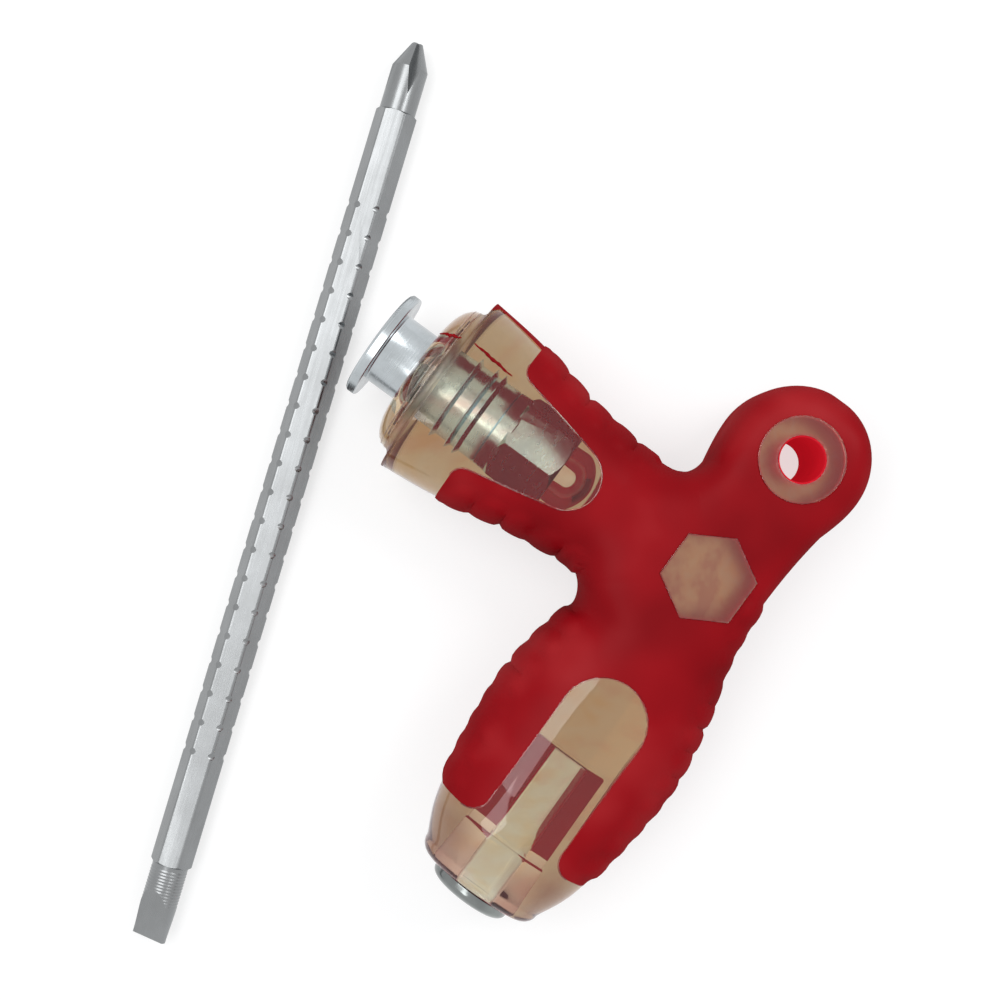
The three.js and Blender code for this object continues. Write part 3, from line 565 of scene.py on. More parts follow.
def noise(tree, place, scale, detail=3.0, rough=0.55):
    node = tree.nodes.new("ShaderNodeTexNoise")
    node.inputs["Scale"].default_value = scale
    node.inputs["Detail"].default_value = detail
    node.inputs["Roughness"].default_value = rough
    tree.links.new(place, node.inputs["Vector"])
    return node.outputs["Fac"]


def ramp(tree, source, stops):
    node = tree.nodes.new("ShaderNodeValToRGB")
    marks = node.color_ramp.elements
    while len(marks) < len(stops):
        marks.new(0.5)
    for mark, (place, colour) in zip(marks, stops):
        mark.position = place
        mark.color = (*colour, 1)
    tree.links.new(source, node.inputs["Fac"])
    return node.outputs["Color"]


def ranged(tree, source, low, high, start=0.3, end=0.7):
    node = tree.nodes.new("ShaderNodeMapRange")
    node.inputs["From Min"].default_value = start
    node.inputs["From Max"].default_value = end
    node.inputs["To Min"].default_value = low
    node.inputs["To Max"].default_value = high
    tree.links.new(source, node.inputs["Value"])
    return node.outputs["Result"]


def maths(tree, operation, *sources):
    """A sum of links and plain numbers."""
    node = tree.nodes.new("ShaderNodeMath")
    node.operation = operation
    for place, source in enumerate(sources):
        if isinstance(source, float):
            node.inputs[place].default_value = source
        else:
            tree.links.new(source, node.inputs[place])
    return node.outputs["Value"]


def multiplied(tree, colour, by):
    node = tree.nodes.new("ShaderNodeMix")
    node.data_type = "RGBA"
    node.blend_type = "MULTIPLY"
    node.inputs["Factor"].default_value = 1.0
    tree.links.new(colour, node.inputs["A"])
    tree.links.new(by, node.inputs["B"])
    return node.outputs["Result"]


def bumped(tree, shader, source, depth, strength=1.0, under=None):
    node = tree.nodes.new("ShaderNodeBump")
    node.inputs["Strength"].default_value = strength
    node.inputs["Distance"].default_value = depth
    tree.links.new(source, node.inputs["Height"])
    if under:
        tree.links.new(under, node.inputs["Normal"])
    tree.links.new(node.outputs["Normal"], shader.inputs["Normal"])
    return node.outputs["Normal"]


def red_skin():
    """The grip's outside. A weak coat of high index gives its gloss and leaves its edges red."""
    material, tree, shader, place = new_material("red_skin")
    tones = [(0.3, (0.21, 0.002, 0.005)), (0.52, (0.29, 0.004, 0.008)), (0.72, (0.37, 0.018, 0.022))]
    tree.links.new(ramp(tree, noise(tree, place, 55, 2), tones), shader.inputs["Base Color"])
    tree.links.new(ranged(tree, noise(tree, place, 500, 4), 0.44, 0.56), shader.inputs["Roughness"])
    shader.inputs["Specular IOR Level"].default_value = 0.0
    shader.inputs["Coat Weight"].default_value = 0.06
    shader.inputs["Coat IOR"].default_value = 1.9
    shader.inputs["Coat Roughness"].default_value = 0.42
    soft = bumped(tree, shader, noise(tree, place, 260, 3), 0.00012, 0.35)
    bumped(tree, shader, noise(tree, place, 5200, 2), 0.000012, 0.5, soft)
    return material


def red_bond_painted_glow():
    """The skin's inner side, bonded to the core.

    It has no gloss, and it has a painted glow, an emission that stands in for the light the skin lets
    through.
    """
    material, tree, shader, place = new_material("red_bond_painted_glow")
    tones = [(0.3, (0.40, 0.006, 0.012)), (0.7, (0.52, 0.014, 0.025))]
    tree.links.new(ramp(tree, noise(tree, place, 140, 4), tones), shader.inputs["Base Color"])
    shader.inputs["Specular IOR Level"].default_value = 0.0
    # Painted glow: a weak red emission in place of light let through the skin
    shader.inputs["Emission Color"].default_value = (1.0, 0.02, 0.045, 1)
    shader.inputs["Emission Strength"].default_value = 0.21
    shader.inputs["Roughness"].default_value = 1.0
    return material


def clear_plastic(name, swirl, tones, rough):
    """Tinted clear plastic with swirls of flow.

    It has a painted pink reflection of the red grip at the hub, a darker painted pink reflection of it
    beside the butt's end, and it is cool in the butt's hollow.
    """
    material, tree, shader, place = new_material(name)
    flow = noise(tree, stretched(tree, place, swirl, (0, 0, 0.6)), 1.0, 3, 0.5)
    apart = tree.nodes.new("ShaderNodeSeparateXYZ")
    tree.links.new(place, apart.inputs["Vector"])
    x, y, z = (apart.outputs[axis] for axis in "XYZ")
    # Masks for the painted reflections of the red grip: the hub, and, darker, the sides beside the butt's
    # end
    hub = maths(tree, "MULTIPLY", ranged(tree, x, 1, 0, 0.008, 0.017), ranged(tree, y, 1, 0, 0.012, 0.020))
    beside = ranged(tree, maths(tree, "ABSOLUTE", x), 0, 1, 0.0050, 0.0085)
    butt_side_painted_reflection = maths(tree, "MULTIPLY", beside, ranged(tree, y, 0, 1, 0.046, 0.052))
    inside = maths(tree, "MULTIPLY", maths(tree, "COMPARE", z, MID * MM, 0.0062),
                   maths(tree, "COMPARE", x, 0.0, 0.0068))
    hollow = maths(tree, "MULTIPLY", inside, ranged(tree, y, 0, 1, 0.030, 0.034))
    tone = ramp(tree, flow, tones)
    for mask, tint in ((hub, HUB_PAINTED_REFLECTION), (butt_side_painted_reflection, BUTT_SIDE_PAINTED_REFLECTION), (hollow, HOLLOW_TINT)):
        tone = multiplied(tree, tone, ramp(tree, mask, [(0.0, WHITE), (1.0, tint)]))
    tree.links.new(tone, shader.inputs["Base Color"])
    shader.inputs["Transmission Weight"].default_value = 1.0
    shader.inputs["IOR"].default_value = 1.49
    tree.links.new(ranged(tree, noise(tree, place, 160, 3), *rough), shader.inputs["Roughness"])
    bumped(tree, shader, noise(tree, place, 70, 1), 0.0002, 0.06)
    depth = tree.nodes.new("ShaderNodeVolumeAbsorption")
    depth.inputs["Color"].default_value = PLASTIC_ABSORBS
    depth.inputs["Density"].default_value = PLASTIC_DENSITY
    tree.links.new(depth.outputs["Volume"], tree.nodes["Material Output"].inputs["Volume"])
    return material


def steel(name, dark, light, rough, lines, line_depth, heading=0.0):
    """Metal with a cloudy tone and fine tool marks. The marks' scale is per metre on each axis."""
    material, tree, shader, place = new_material(name)
    shader.inputs["Metallic"].default_value = 1.0
    cloud = noise(tree, place, 160, 5, 0.6)
    tree.links.new(ramp(tree, cloud, [(0.3, dark), (0.7, light)]), shader.inputs["Base Color"])
    marks = noise(tree, stretched(tree, place, lines, (0, 0, heading)), 1.0, 3, 0.6)
    tree.links.new(ranged(tree, marks, *rough), shader.inputs["Roughness"])
    bumped(tree, shader, marks, line_depth, 0.6)
    return material


RED = red_skin()
RED_BOND_PAINTED_GLOW = red_bond_painted_glow()
CLEAR = clear_plastic(
    "clear_plastic", (90, 150, 60),
    [(0.34, (0.97, 0.70, 0.66)), (0.46, (1, 0.95, 0.90)),
     (0.56, (1, 0.98, 0.95)), (0.70, (1, 0.82, 0.58))],
    (0.002, 0.012))
CLEAR_MATT = clear_plastic(
    "matt_clear_plastic", (200, 150, 60),
    [(0.36, (0.74, 0.40, 0.42)), (0.46, (0.98, 0.80, 0.72)),
     (0.54, (1, 0.94, 0.90)), (0.66, (1, 0.80, 0.64))],
    (0.34, 0.46))
FROSTED = steel(
    "frosted_steel", (0.55, 0.73, 0.92), (0.63, 0.85, 1.0), (0.2, 0.3), (900, 400, 400), 0.000002)
PLATED = steel(
    "plated_steel", (0.40, 0.43, 0.445), (0.53, 0.57, 0.595), (0.16, 0.3), (4200, 160, 160), 0.000008)
CAP_STEEL = steel(
    "cap_steel", (0.18, 0.19, 0.19), (0.27, 0.29, 0.28), (0.12, 0.22), (300, 2600, 300), 0.000006)
SPRING_STEEL = steel(
    "spring_steel", (0.10, 0.07, 0.05), (0.30, 0.26, 0.22), (0.25, 0.45), (900, 900, 900), 0.00001)
BALL_STEEL = steel(
    "ball_steel", (0.5, 0.5, 0.5), (0.62, 0.62, 0.62), (0.1, 0.18), (600, 600, 600), 0.000004)
BLADE_STEEL = steel(
    "blade_steel", (0.235, 0.242, 0.246), (0.275, 0.284, 0.29), (0.24, 0.34), (90, 2600, 2600), 0.000003,
    BLADE_HEADING)


# The grip and the core

OUTER_DETAIL = dict(fine=2, sides=26)
INNER_DETAIL = dict(fine=1, sides=12)
OVERLAP = 0.05  # pieces moulded into one another share this much, so that no air shows between them
GROOVE = (39.1, 39.25, 39.4)
BUTT_HOLLOW = dict(across=10.0, depth=25.5)
BUTT_MOUTH = dict(across=10.4, depth=9.3)
NOSE_RIDGES = (51.35, 52.1)
FLASH_STREAKS = (((54.2, -6.2), (50.9, -7.3)), ((48.8, -7.8), (41.4, -7.1)))


def red_grip():
    bm = handle_form(0.0, **OUTER_DETAIL)
    bm.normal_update()
    moves = [(v, v.normal.copy(), skin_swell(v.co.x, v.co.y)) for v in bm.verts]
    for v, normal, swell in moves:
        v.co += normal * swell
    skin = block(bm, "red_grip_skin", RED)
    inner = (handle_form(SKIN, **INNER_DETAIL), chuck_tongue(), butt_tongue(),
             prism(hub_hexagon(), -TALL, TALL), disc(EYE, RING_RADIUS, -TALL, TALL))
    # The skin's inner faces take the bond's painted glow
    cut(skin, *(block(tool, "inner", RED_BOND_PAINTED_GLOW) for tool in inner))
    return piece(skin, "red_grip_skin", RED, "handle", ["red_grip"], 40)


def barrel_profile(grow=0.0):
    """The barrel's outline with its groove and its barbs."""
    radius, barb = BARREL_RADIUS + grow, BARB_RADIUS + grow
    line = [(BARREL_X - 1, 0), (BARREL_X - 1, BARREL_RADIUS - 0.5 + grow), (BARREL_X - 0.5, radius)]
    line += [(GROOVE[0], radius), (GROOVE[1], BARREL_RADIUS - 0.16 + grow), (GROOVE[2], radius)]
    for place in BARBS:
        line += [(place - 0.7, radius), (place - 0.06, barb), (place + 0.06, barb), (place + 0.16, radius)]
    line += [(SHOULDER_X - 0.25, radius), (SHOULDER_X, BARREL_RADIUS - 0.25 + grow), (SHOULDER_X, 0)]
    return line


def tail(finish, grow=0.0):
    """The chuck's hexagonal tail with its corners turned off at both ends."""
    back, front = TAIL_X - grow, BARREL_X + 0.5
    bar = rotate(hex_bar(TAIL_HEX + 2 * grow, back, front), TAIL_TURN, "X")
    corner = TAIL_HEX / math.sqrt(3) + grow
    chamfer = turned([(back, 0), (back, corner - 0.9), (back + 0.9, corner), (BARREL_X - 0.7, corner),
                      (BARREL_X + 0.1, corner - 0.7), (front, corner - 0.7), (front, 0)])
    return combine(block(bar, "tail", finish), block(chamfer, "chamfer", finish), "INTERSECT")


def butt_hollow(across, depth):
    bar = hex_bar(across, BUTT_END - depth, BUTT_END + 1, soften=0.4)
    return rotate(bar, QUARTER_TURN, "Z")


def clear_core():
    core = block(handle_form(SKIN - OVERLAP, **INNER_DETAIL), "clear_core_body", CLEAR)
    for tongue in (chuck_tongue(OVERLAP), butt_tongue(OVERLAP)):
        window = block(handle_form(0.0, **OUTER_DETAIL), "window", CLEAR)
        join(core, combine(window, block(tongue, "tongue", CLEAR), "INTERSECT"))
    join(core, block(prism(hub_hexagon(OVERLAP), -PAD_HALF, PAD_HALF), "hub_pad", CLEAR_MATT),
         block(disc(EYE, RING_RADIUS + OVERLAP, -PAD_HALF, PAD_HALF), "eye_ring", CLEAR_MATT))
    back, front = SHOULDER_X - 0.2, NOSE_FRONT + 1
    pocket = turned([(back, 0), (back, POCKET_RADIUS), (front, POCKET_RADIUS), (front, 0)])
    dome = [(BORE_END + BORE_RADIUS * (1 - math.cos(a)), BORE_RADIUS * math.sin(a))
            for a in (k / 12 * math.pi / 2 for k in range(13))]
    bore = turned([*dome, (TAIL_X + 1, BORE_RADIUS), (TAIL_X + 1, 0)])
    hole = disc(EYE, HOLE_RADIUS + HOLE_LINING - OVERLAP, -TALL, TALL)
    hollows = (turned(barrel_profile(-OVERLAP)), pocket, bore, butt_hollow(**BUTT_HOLLOW),
               butt_hollow(**BUTT_MOUTH), hole)
    cut(core, tail(CLEAR, -OVERLAP), *(block(hollow, "hollow", CLEAR) for hollow in hollows))
    # The guard's front band is matt, round the nose
    matt = core.data.materials.find(CLEAR_MATT.name)
    for face in core.data.polygons:
        x, y, z = face.center
        if GUARD - 0.2 < x < NOSE_BASE + 0.1 and math.hypot(y, z) > POCKET_RADIUS + 3:
            face.material_index = matt
    return piece(core, "clear_core_body", CLEAR, "handle", ["clear_core"], 28)


def hole_lining():
    """The grip's red goes down through the hanging hole, inside the clear ring."""
    height = PAD_HALF - 0.25
    # The lining takes the bond's painted glow
    lining = block(disc(EYE, HOLE_RADIUS + HOLE_LINING, -height, height), "lining", RED_BOND_PAINTED_GLOW)
    cut(lining, block(disc(EYE, HOLE_RADIUS, -TALL, TALL)))
    return piece(lining, "hanging_hole_lining", RED_BOND_PAINTED_GLOW, "handle", sharp=40)


def swept(name, lines, radius, round_steps):
    """Round rods along lines of points, each point with its share of the radius."""
    curve = bpy.data.curves.new(name, "CURVE")
    curve.dimensions = "3D"
    curve.bevel_depth = radius
    curve.bevel_resolution = round_steps
    curve.use_fill_caps = True
    for points, closed in lines:
        line = curve.splines.new("POLY")
        line.use_cyclic_u = closed
        line.points.add(len(points) - 1)
        for mark, (x, y, z, share) in zip(line.points, points):
            mark.co = (x, y, z, 1)
            mark.radius = share
    drawn = bpy.data.objects.new(name, curve)
    SCENE.collection.objects.link(drawn)
    graph = bpy.context.evaluated_depsgraph_get()
    made = bpy.data.objects.new(name, bpy.data.meshes.new_from_object(drawn.evaluated_get(graph)))
    SCENE.collection.objects.link(made)
    bpy.data.objects.remove(drawn)
    return made


def bead(name, lines, radius, finish):
    """Thin beads on the handle."""
    return piece(swept(name, lines, radius, 2), name, finish, "handle")


def both_faces(points, closed=False):
    """The same line above and below the mid plane."""
    return [([(x, y, side * z, share) for x, y, z, share in points], closed) for side in (1, -1)]


def arm_surface(table, along, across):
    """Height of an arm's plain form over the mid plane."""
    half, height = looked_up(table, along)
    return height * superellipse(min(abs(across) / half, 1.0), ARM_POWER)


def window_rims():
    """The clear plastic stands a hair proud along the edges of its windows and pads."""
    sink, radius = 0.03, 0.13
    chuck_line, butt_line = (tongue_outline(**window)[1:-1] for window in (CHUCK_WINDOW, BUTT_WINDOW))
    chuck_rim = [(x, y, arm_surface(CHUCK_TABLE, x, y) - sink, 1) for x, y in chuck_line]
    butt_rim = [(-y, x, arm_surface(BUTT_TABLE, x, y) - sink, 1) for x, y in butt_line]
    bead("chuck_window_rim", both_faces(chuck_rim), radius, CLEAR)
    bead("butt_window_rim", both_faces(butt_rim), radius, CLEAR)
    eye_line = circle(EYE, RING_RADIUS)
    hole_line = circle(EYE, HOLE_RADIUS + HOLE_LINING + 0.1)
    pads = (("hub_pad_rim", hub_hexagon()), ("eye_ring_rim", eye_line), ("hanging_hole_rim", hole_line))
    for name, line in pads:
        rim = [(x, y, PAD_HALF - radius, 1) for x, y in line]
        bead(name, both_faces(rim, True), radius, CLEAR)


def nose_radius(x):
    if x <= NOSE_BASE:
        return NOSE_RADIUS
    return lerp(NOSE_FACE, NOSE_RADIUS, math.sqrt(1 - ((x - NOSE_BASE) / (NOSE_FRONT - NOSE_BASE)) ** 2))


def nose_ridges():
    """Two fine ridges round the root of the nose."""
    lines = []
    for x in NOSE_RIDGES:
        round_nose = circle((0, 0), nose_radius(x) - 0.02, 120)
        lines.append(([(x, y, z, 1) for y, z in round_nose], True))
    return bead("nose_ridges", lines, 0.12, CLEAR)


def flash_streaks():
    """Thin runs of the grip's red over the nose and the flare, left by moulding."""
    steps, lines = 24, []
    for start, end in FLASH_STREAKS:
        points = []
        for i in range(steps + 1):
            share = i / steps
            x = lerp(start[0], end[0], share)
            y = lerp(start[1], end[1], share) + 0.05 * math.sin(share * 17)
            if x > NOSE_BASE:
                z = math.sqrt(nose_radius(x) ** 2 - y * y)
            else:
                z = arm_surface(CHUCK_TABLE, x, y)
            swell = math.sin(share * math.pi) * (0.75 + 0.25 * math.sin(share * 41))
            points.append((x, y, z - 0.05, 0.3 + 0.7 * swell))
        lines.append((points, False))
    return bead("grip_flash_streaks", lines, 0.32, RED)


def flare_strip():
    """A thin strip of the grip that runs on along one side of the flare."""
    places = [lerp(GRIP_FRONT - 0.3, GUARD + 0.3, i / 8) for i in range(9)]
    inner = [(x, 0.95 - 0.5 * i / 8 - looked_up(CHUCK_TABLE, x)[0]) for i, x in enumerate(places)]
    outline = inner + [(places[-1], -TALL), (places[0], -TALL)]
    proud = -0.12
    strip = block(handle_form(proud, **OUTER_DETAIL), "strip", RED)
    # The strip's cut edges take the bond's painted glow
    combine(strip, block(prism(outline, -TALL, TALL), "edge", RED_BOND_PAINTED_GLOW), "INTERSECT")
    return piece(strip, "grip_flare_strip", RED, "handle", sharp=40)


# The chuck


def chuck_body():
    body = tail(FROSTED)
    join(body, block(turned(barrel_profile()), "barrel", FROSTED))
    groove_start, groove_end, groove_radius = CLIP_X - 0.1, CLIP_X + 0.8, NECK_RADIUS - 0.3
    neck = turned([(SHOULDER_X - 2, 0), (SHOULDER_X - 2, NECK_RADIUS), (groove_start, NECK_RADIUS),
                   (groove_start, groove_radius), (groove_end, groove_radius), (groove_end, NECK_RADIUS),
                   (NECK_END_X - 0.2, NECK_RADIUS), (NECK_END_X, NECK_RADIUS - 0.2), (NECK_END_X, 0)])
    join(body, block(neck, "neck", PLATED))
    socket = hex_bar(SOCKET_HEX, TAIL_X - 1, NECK_END_X + 1)
    hole = turned([(-6, 0), (-6, 0.9), (6, 0.9), (6, 0)], 48)
    shift(rotate(hole, QUARTER_TURN, "Z"), BALL_X, 0, 0)
    cut(body, block(socket, "socket", PLATED), block(hole, "hole", PLATED))
    return piece(body, "chuck_steel_body", FROSTED, "handle", ["chuck_body"], 30)


def release_sleeve():
    """The flanged sleeve, with fine teeth pressed into the flange's front edge."""
    cam_front, cam_land, teeth, tooth_depth = 5.39, 4.65, 120, 0.09
    line = [(SLEEVE_REAR, SPRING_POCKET), (SLEEVE_REAR, SLEEVE_RADIUS - 0.12),
            (SLEEVE_REAR + 0.12, SLEEVE_RADIUS), (FLANGE_REAR - 0.35, SLEEVE_RADIUS),
            (FLANGE_REAR - 0.1, SLEEVE_RADIUS + 0.1), (FLANGE_REAR, SLEEVE_RADIUS + 0.35),
            (FLANGE_REAR, FLANGE_RADIUS - 0.15), (FLANGE_REAR + 0.15, FLANGE_RADIUS),
            (SLEEVE_FRONT - 0.45, FLANGE_RADIUS), (SLEEVE_FRONT - 0.12, FLANGE_RADIUS - 0.3),
            (SLEEVE_FRONT, FLANGE_RADIUS - 0.6), (SLEEVE_FRONT, cam_front + 0.2),
            (SLEEVE_FRONT - 0.2, cam_front), (CLIP_X, cam_front), (LAND_X, cam_land),
            (LAND_X, SPRING_POCKET)]
    sleeve = turned(line, 2 * teeth, hollow=True)
    for v in sleeve.verts:
        reach = math.hypot(v.co.y, v.co.z)
        tooth = round(math.atan2(v.co.z, v.co.y) / math.pi * teeth)
        if v.co.x > SLEEVE_FRONT - 0.5 and reach > FLANGE_RADIUS - 0.7 and tooth % 2:
            v.co.yz *= 1 - tooth_depth / reach
    return piece(block(sleeve), "release_sleeve_turned", PLATED, "sleeve",
                 ["release_sleeve"], 30)


def washer(name, x, radius, body, node):
    inner, front = NECK_RADIUS + 0.1, x + WASHER_THICK
    line = [(x, inner), (x, radius - 0.08), (x + 0.08, radius), (front - 0.08, radius),
            (front, radius - 0.08), (front, inner)]
    return piece(block(turned(line, 72, hollow=True)), name, PLATED, body, [node], 30)


def retaining_clip():
    inner, outer, thick, half_gap = 3.95, 4.9, 0.7, math.radians(25)
    far_side = 2 * math.pi - half_gap
    line = arc((0, 0), outer, half_gap, far_side, 60) + arc((0, 0), inner, far_side, half_gap, 60)
    bm = shift(rotate(prism(line, 0, thick), QUARTER_TURN, "Y"), CLIP_X, 0, 0)
    return piece(block(bm), "retaining_clip_ring", PLATED, "handle", ["retaining_clip"], 30)


def sleeve_spring():
    """The spring between the chuck's shoulder and its washer. On the real chuck it shortens as the sleeve
    is pushed; here it is drawn at one length.
    """
    turns, steps, wire, radius = 3.5, 40, 0.35, 4.98
    start, end = SHOULDER_X + 0.1, SPRING_WASHER_X - 0.1
    count = int(turns * steps)
    points = []
    for i in range(count + 1):
        angle = i / steps * 2 * math.pi
        along = lerp(start + wire, end - wire, i / count)
        points.append((along, radius * math.cos(angle), radius * math.sin(angle), 1))
    made = swept("sleeve_spring_wire", [(points, False)], wire, 4)
    coil = piece(made, "sleeve_spring_wire", SPRING_STEEL, "handle", ["sleeve_spring"], 50)
    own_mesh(coil)
    return coil


def butt_cap():
    """The pressed cap, with a spigot in the butt's hollow, a rim and a flat dome."""
    seat, radius, spigot, spigot_end = BUTT_END + 0.15, 6.7, 5.05, BUTT_END - 1.4
    line = [(spigot_end, 0), (spigot_end, spigot - 0.2), (BUTT_END - 1.2, spigot), (seat, spigot),
            (seat, radius - 0.15), (seat + 0.15, radius), (seat + 0.85, radius)]
    line += [(seat + 0.85 + 1.35 * math.sin(a), radius - 2.2 * (1 - math.cos(a)))
             for a in (k / 8 * math.pi / 2 * 0.8 for k in range(1, 9))]
    line += [(seat + 2.2, 2.2), (seat + 2.2, 0)]
    bm = rotate(turned(line), QUARTER_TURN, "Z")
    return piece(block(bm), "butt_cap_pressed", CAP_STEEL, "handle", ["butt_cap"], 30)


# The blade, drawn along X about its middle and then laid beside the handle

BLADE_LENGTH = 150.0
BLADE_END = BLADE_LENGTH / 2
BLADE_HEX = 6.0
BLADE_AHEAD = 9.15  # from the sleeve's front to the blade's axis, along the chuck's axis
BLADE_BEYOND = 29.9  # from there back to the blade's middle
BLADE_MIDDLE = (SLEEVE_FRONT + BLADE_AHEAD - BLADE_BEYOND * math.cos(BLADE_HEADING),
                -BLADE_BEYOND * math.sin(BLADE_HEADING))
BLADE_NECK = 2.95
PAST_CORNERS = 4.4
NECK_SLOPE = 1.1
SLOT_NECK = 13.4
CROSS_NECK = 12.6
POINT_LENGTH = 4.2
POINT_FLAT = 0.9
RIBS = 12
RIB_START = 5.9
RIB_PITCH = 0.5
RIB_DEPTH = 0.07
NOTCHES = 20
NOTCH_START = 27.8
NOTCH_PITCH = 4.79
NOTCH_RADIUS = 0.95
NOTCH_FLOOR = 3.17
FLUTE_SIZE = 12
FLUTE_SLOPE = math.radians(16)
FLUTE_TURN = math.radians(20)
SLOT_WHEEL = 15
SLOT_HALF = 0.5
SLOT_TURN = math.radians(-25)


def blade_outline():
    """What the bar is turned down to: a ribbed neck, notches across its corners and the cross point."""
    line = [(-BLADE_END, 0), (-BLADE_END, BLADE_NECK)]
    for k in range(RIBS):
        x = RIB_START - BLADE_END + RIB_PITCH * k
        line += [(x, BLADE_NECK), (x + RIB_PITCH / 2, BLADE_NECK - RIB_DEPTH)]
    line += [(SLOT_NECK - BLADE_END - NECK_SLOPE, BLADE_NECK), (SLOT_NECK - BLADE_END, PAST_CORNERS)]
    for k in reversed(range(NOTCHES)):
        x = BLADE_END - NOTCH_START - k * NOTCH_PITCH
        notch = []
        for i in range(13):
            angle = math.pi * (i / 12)
            notch.append((x - NOTCH_RADIUS * math.cos(angle),
                          NOTCH_FLOOR + NOTCH_RADIUS - NOTCH_RADIUS * math.sin(angle)))
        notch[0] = (notch[0][0], PAST_CORNERS)
        notch[-1] = (notch[-1][0], PAST_CORNERS)
        line += notch
    line += [(BLADE_END - CROSS_NECK, PAST_CORNERS), (BLADE_END - CROSS_NECK + NECK_SLOPE, BLADE_NECK),
             (BLADE_END - POINT_LENGTH, BLADE_NECK), (BLADE_END, POINT_FLAT), (BLADE_END, 0)]
    return line


def cross_flute(quarter):
    """A square block on its edge that cuts one of the cross point's flutes."""
    bm = bmesh.new()
    bmesh.ops.create_cube(bm, size=FLUTE_SIZE)
    bmesh.ops.scale(bm, vec=(3.2, 1, 1), verts=bm.verts)
    rotate(bm, math.pi / 4, "X")
    shift(bm, 0, 0, FLUTE_SIZE / math.sqrt(2))
    rotate(bm, FLUTE_SLOPE, "Y")
    shift(bm, BLADE_END, 0, 0.5)
    return rotate(bm, FLUTE_TURN + quarter * math.pi / 2, "X")


def slot_wheel(side):
    """A wheel that grinds one hollow side of the slot tip."""
    wheel = turned([(-8, 0), (-8, SLOT_WHEEL), (8, SLOT_WHEEL), (8, 0)], 160)
    rotate(wheel, QUARTER_TURN, "Z")
    shift(wheel, -BLADE_END, 0, side * (SLOT_WHEEL + SLOT_HALF))
    return rotate(wheel, SLOT_TURN, "X")


def blade():
    bar = block(hex_bar(BLADE_HEX, -BLADE_END - 1, BLADE_END + 1, soften=0.3), "blade_bar")
    combine(bar, block(turned(blade_outline(), 120)), "INTERSECT")
    cut(bar, *(block(cross_flute(quarter)) for quarter in range(4)))
    cut(bar, *(block(slot_wheel(side)) for side in (1, -1)))
    bar.data.transform(Matrix.Translation((*BLADE_MIDDLE, 0)) @ Matrix.Rotation(BLADE_HEADING, 4, "Z"))
    return piece(bar, "blade_bar", BLADE_STEEL, "loose_blade", ["blade"], 9, BLADE_HEX / 2)


# Floor, light and camera, in metres

LAMP_AIM = Vector((0.03, 0.01, 0.01))
CAMERA_PLACE = (0.03195, 0.00887, 0.310)
CAMERA_TURN = math.radians(-143.893)
CAMERA_LENS = 68.71
FLOOR_HALF = 3.0
FLOOR_DROP = 0.0001


def background(tree, plain, seen):
    """Mixes what lights the object with what the eye, a mirror or a lens sees."""
    path = tree.nodes.new("ShaderNodeLightPath")
    either = path.outputs["Is Camera Ray"]
    for way in ("Is Glossy Ray", "Is Transmission Ray"):
        either = maths(tree, "MAXIMUM", either, path.outputs[way])
    mix = tree.nodes.new("ShaderNodeMixShader")
    tree.links.new(either, mix.inputs["Fac"])
    tree.links.new(plain, mix.inputs[1])
    tree.links.new(seen, mix.inputs[2])
    return mix.outputs["Shader"]


def sky():
    world = bpy.data.worlds.new("studio")
    SCENE.world = world
    world.use_nodes = True
    tree = world.node_tree
    fill = tree.nodes["Background"]
    fill.inputs["Color"].default_value = (0.97, 0.985, 1.0, 1)
    fill.inputs["Strength"].default_value = 0.6
    seen = tree.nodes.new("ShaderNodeBackground")
    seen.inputs["Color"].default_value = (1, 1, 1, 1)
    seen.inputs["Strength"].default_value = 1.0
    tree.links.new(background(tree, fill.outputs["Background"], seen.outputs["Background"]),
                   tree.nodes["World Output"].inputs["Surface"])


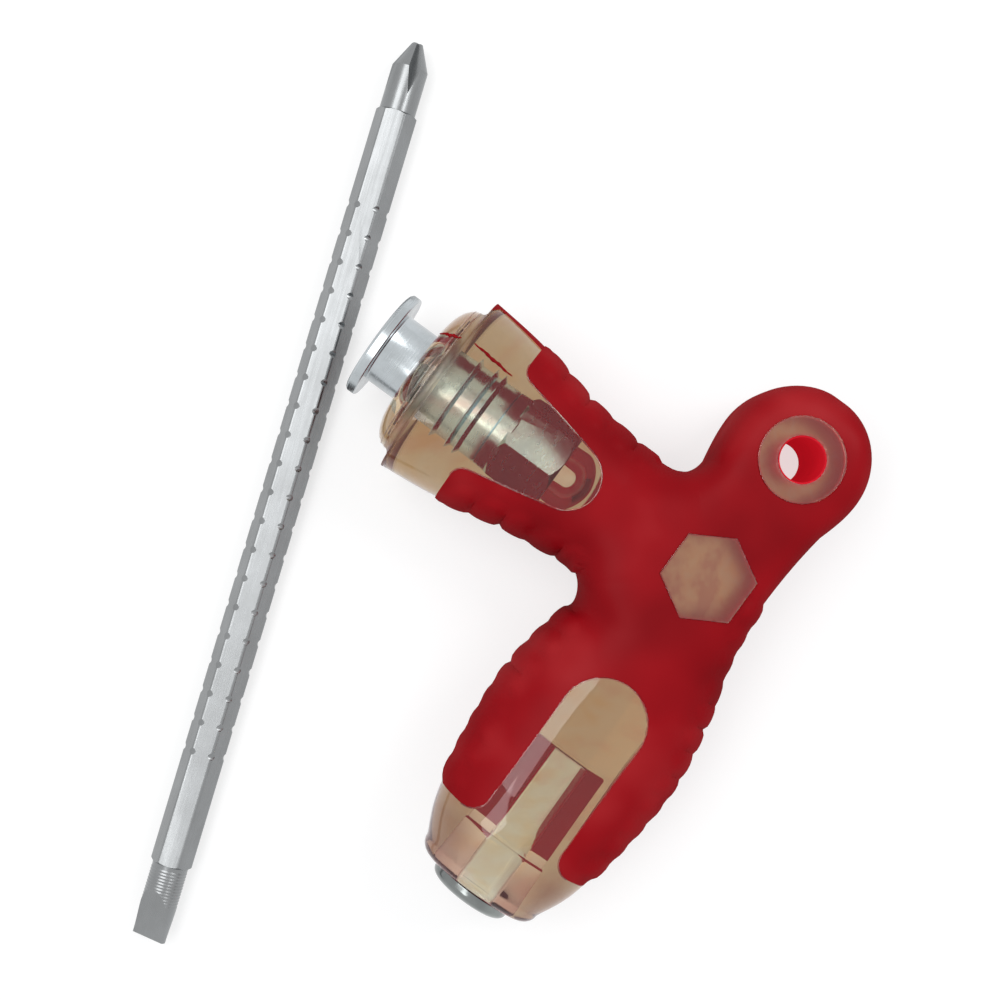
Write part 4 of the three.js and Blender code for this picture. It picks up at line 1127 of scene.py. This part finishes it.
def floor_paper():
    """White paper that keeps a soft shadow and glows where it is seen."""
    material = bpy.data.materials.new("floor_paper")
    material.use_nodes = True
    tree = material.node_tree
    tree.nodes.remove(tree.nodes["Principled BSDF"])
    plain = tree.nodes.new("ShaderNodeBsdfDiffuse")
    plain.inputs["Color"].default_value = (0.8, 0.8, 0.8, 1)
    shaded = tree.nodes.new("ShaderNodeBsdfDiffuse")
    shaded.inputs["Color"].default_value = (0.4, 0.4, 0.4, 1)
    glow = tree.nodes.new("ShaderNodeEmission")
    glow.inputs["Color"].default_value = (1, 1, 1, 1)
    glow.inputs["Strength"].default_value = 0.65
    both = tree.nodes.new("ShaderNodeAddShader")
    tree.links.new(shaded.outputs["BSDF"], both.inputs[0])
    tree.links.new(glow.outputs["Emission"], both.inputs[1])
    tree.links.new(background(tree, plain.outputs["BSDF"], both.outputs["Shader"]),
                   tree.nodes["Material Output"].inputs["Surface"])
    return material


def floor_sheet():
    bm = bmesh.new()
    bmesh.ops.create_grid(bm, x_segments=2, y_segments=2, size=FLOOR_HALF)
    shift(bm, 0, 0, -FLOOR_DROP)
    mesh = bpy.data.meshes.new("floor")
    bm.to_mesh(mesh)
    bm.free()
    floor = bpy.data.objects.new("floor", mesh)
    SCENE.collection.objects.link(floor)
    mesh.materials.append(floor_paper())


def softbox(name, place, size, power):
    """A soft lamp turned to the handle, beside the camera so that flat tops don't mirror it."""
    lamp = bpy.data.lights.new(name, "AREA")
    lamp.size = size
    lamp.energy = power
    lit = bpy.data.objects.new(name, lamp)
    lit.location = place
    aim = LAMP_AIM - Vector(place)
    lit.rotation_euler = aim.to_track_quat("-Z", "Y").to_euler()
    SCENE.collection.objects.link(lit)


def camera():
    lens = bpy.data.cameras.new("camera")
    lens.sensor_fit = "HORIZONTAL"
    lens.sensor_width = 36.0
    lens.lens = CAMERA_LENS
    lens.clip_start = 0.01
    eye = bpy.data.objects.new("camera", lens)
    eye.location = CAMERA_PLACE
    eye.rotation_euler = (0, 0, CAMERA_TURN)
    SCENE.collection.objects.link(eye)
    SCENE.camera = eye


SCENE.view_settings.view_transform = "Standard"
sky()
floor_sheet()
softbox("left_softbox", (0.290, 0.011, 0.62), 0.38, 1.4)
softbox("low_left_softbox", (0.156, 0.297, 0.62), 0.2, 0.4)
softbox("right_softbox", (-0.17, -0.33, 0.42), 0.22, 0.8)
camera()

red_grip()
clear_core()
hole_lining()
window_rims()
nose_ridges()
flash_streaks()
flare_strip()
chuck_body()
release_sleeve()
washer("stop_washer_ring", STOP_X, STOP_WASHER_RADIUS, "handle", "stop_washer")
washer("spring_washer_ring", SPRING_WASHER_X, SPRING_WASHER_RADIUS, "sleeve", "spring_washer")
retaining_clip()
sleeve_spring()
butt_cap()
blade()
for ball in ("locking_ball_left", "locking_ball_right"):
    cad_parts[ball].data.materials.clear()
    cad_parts[ball].data.materials.append(BALL_STEEL)
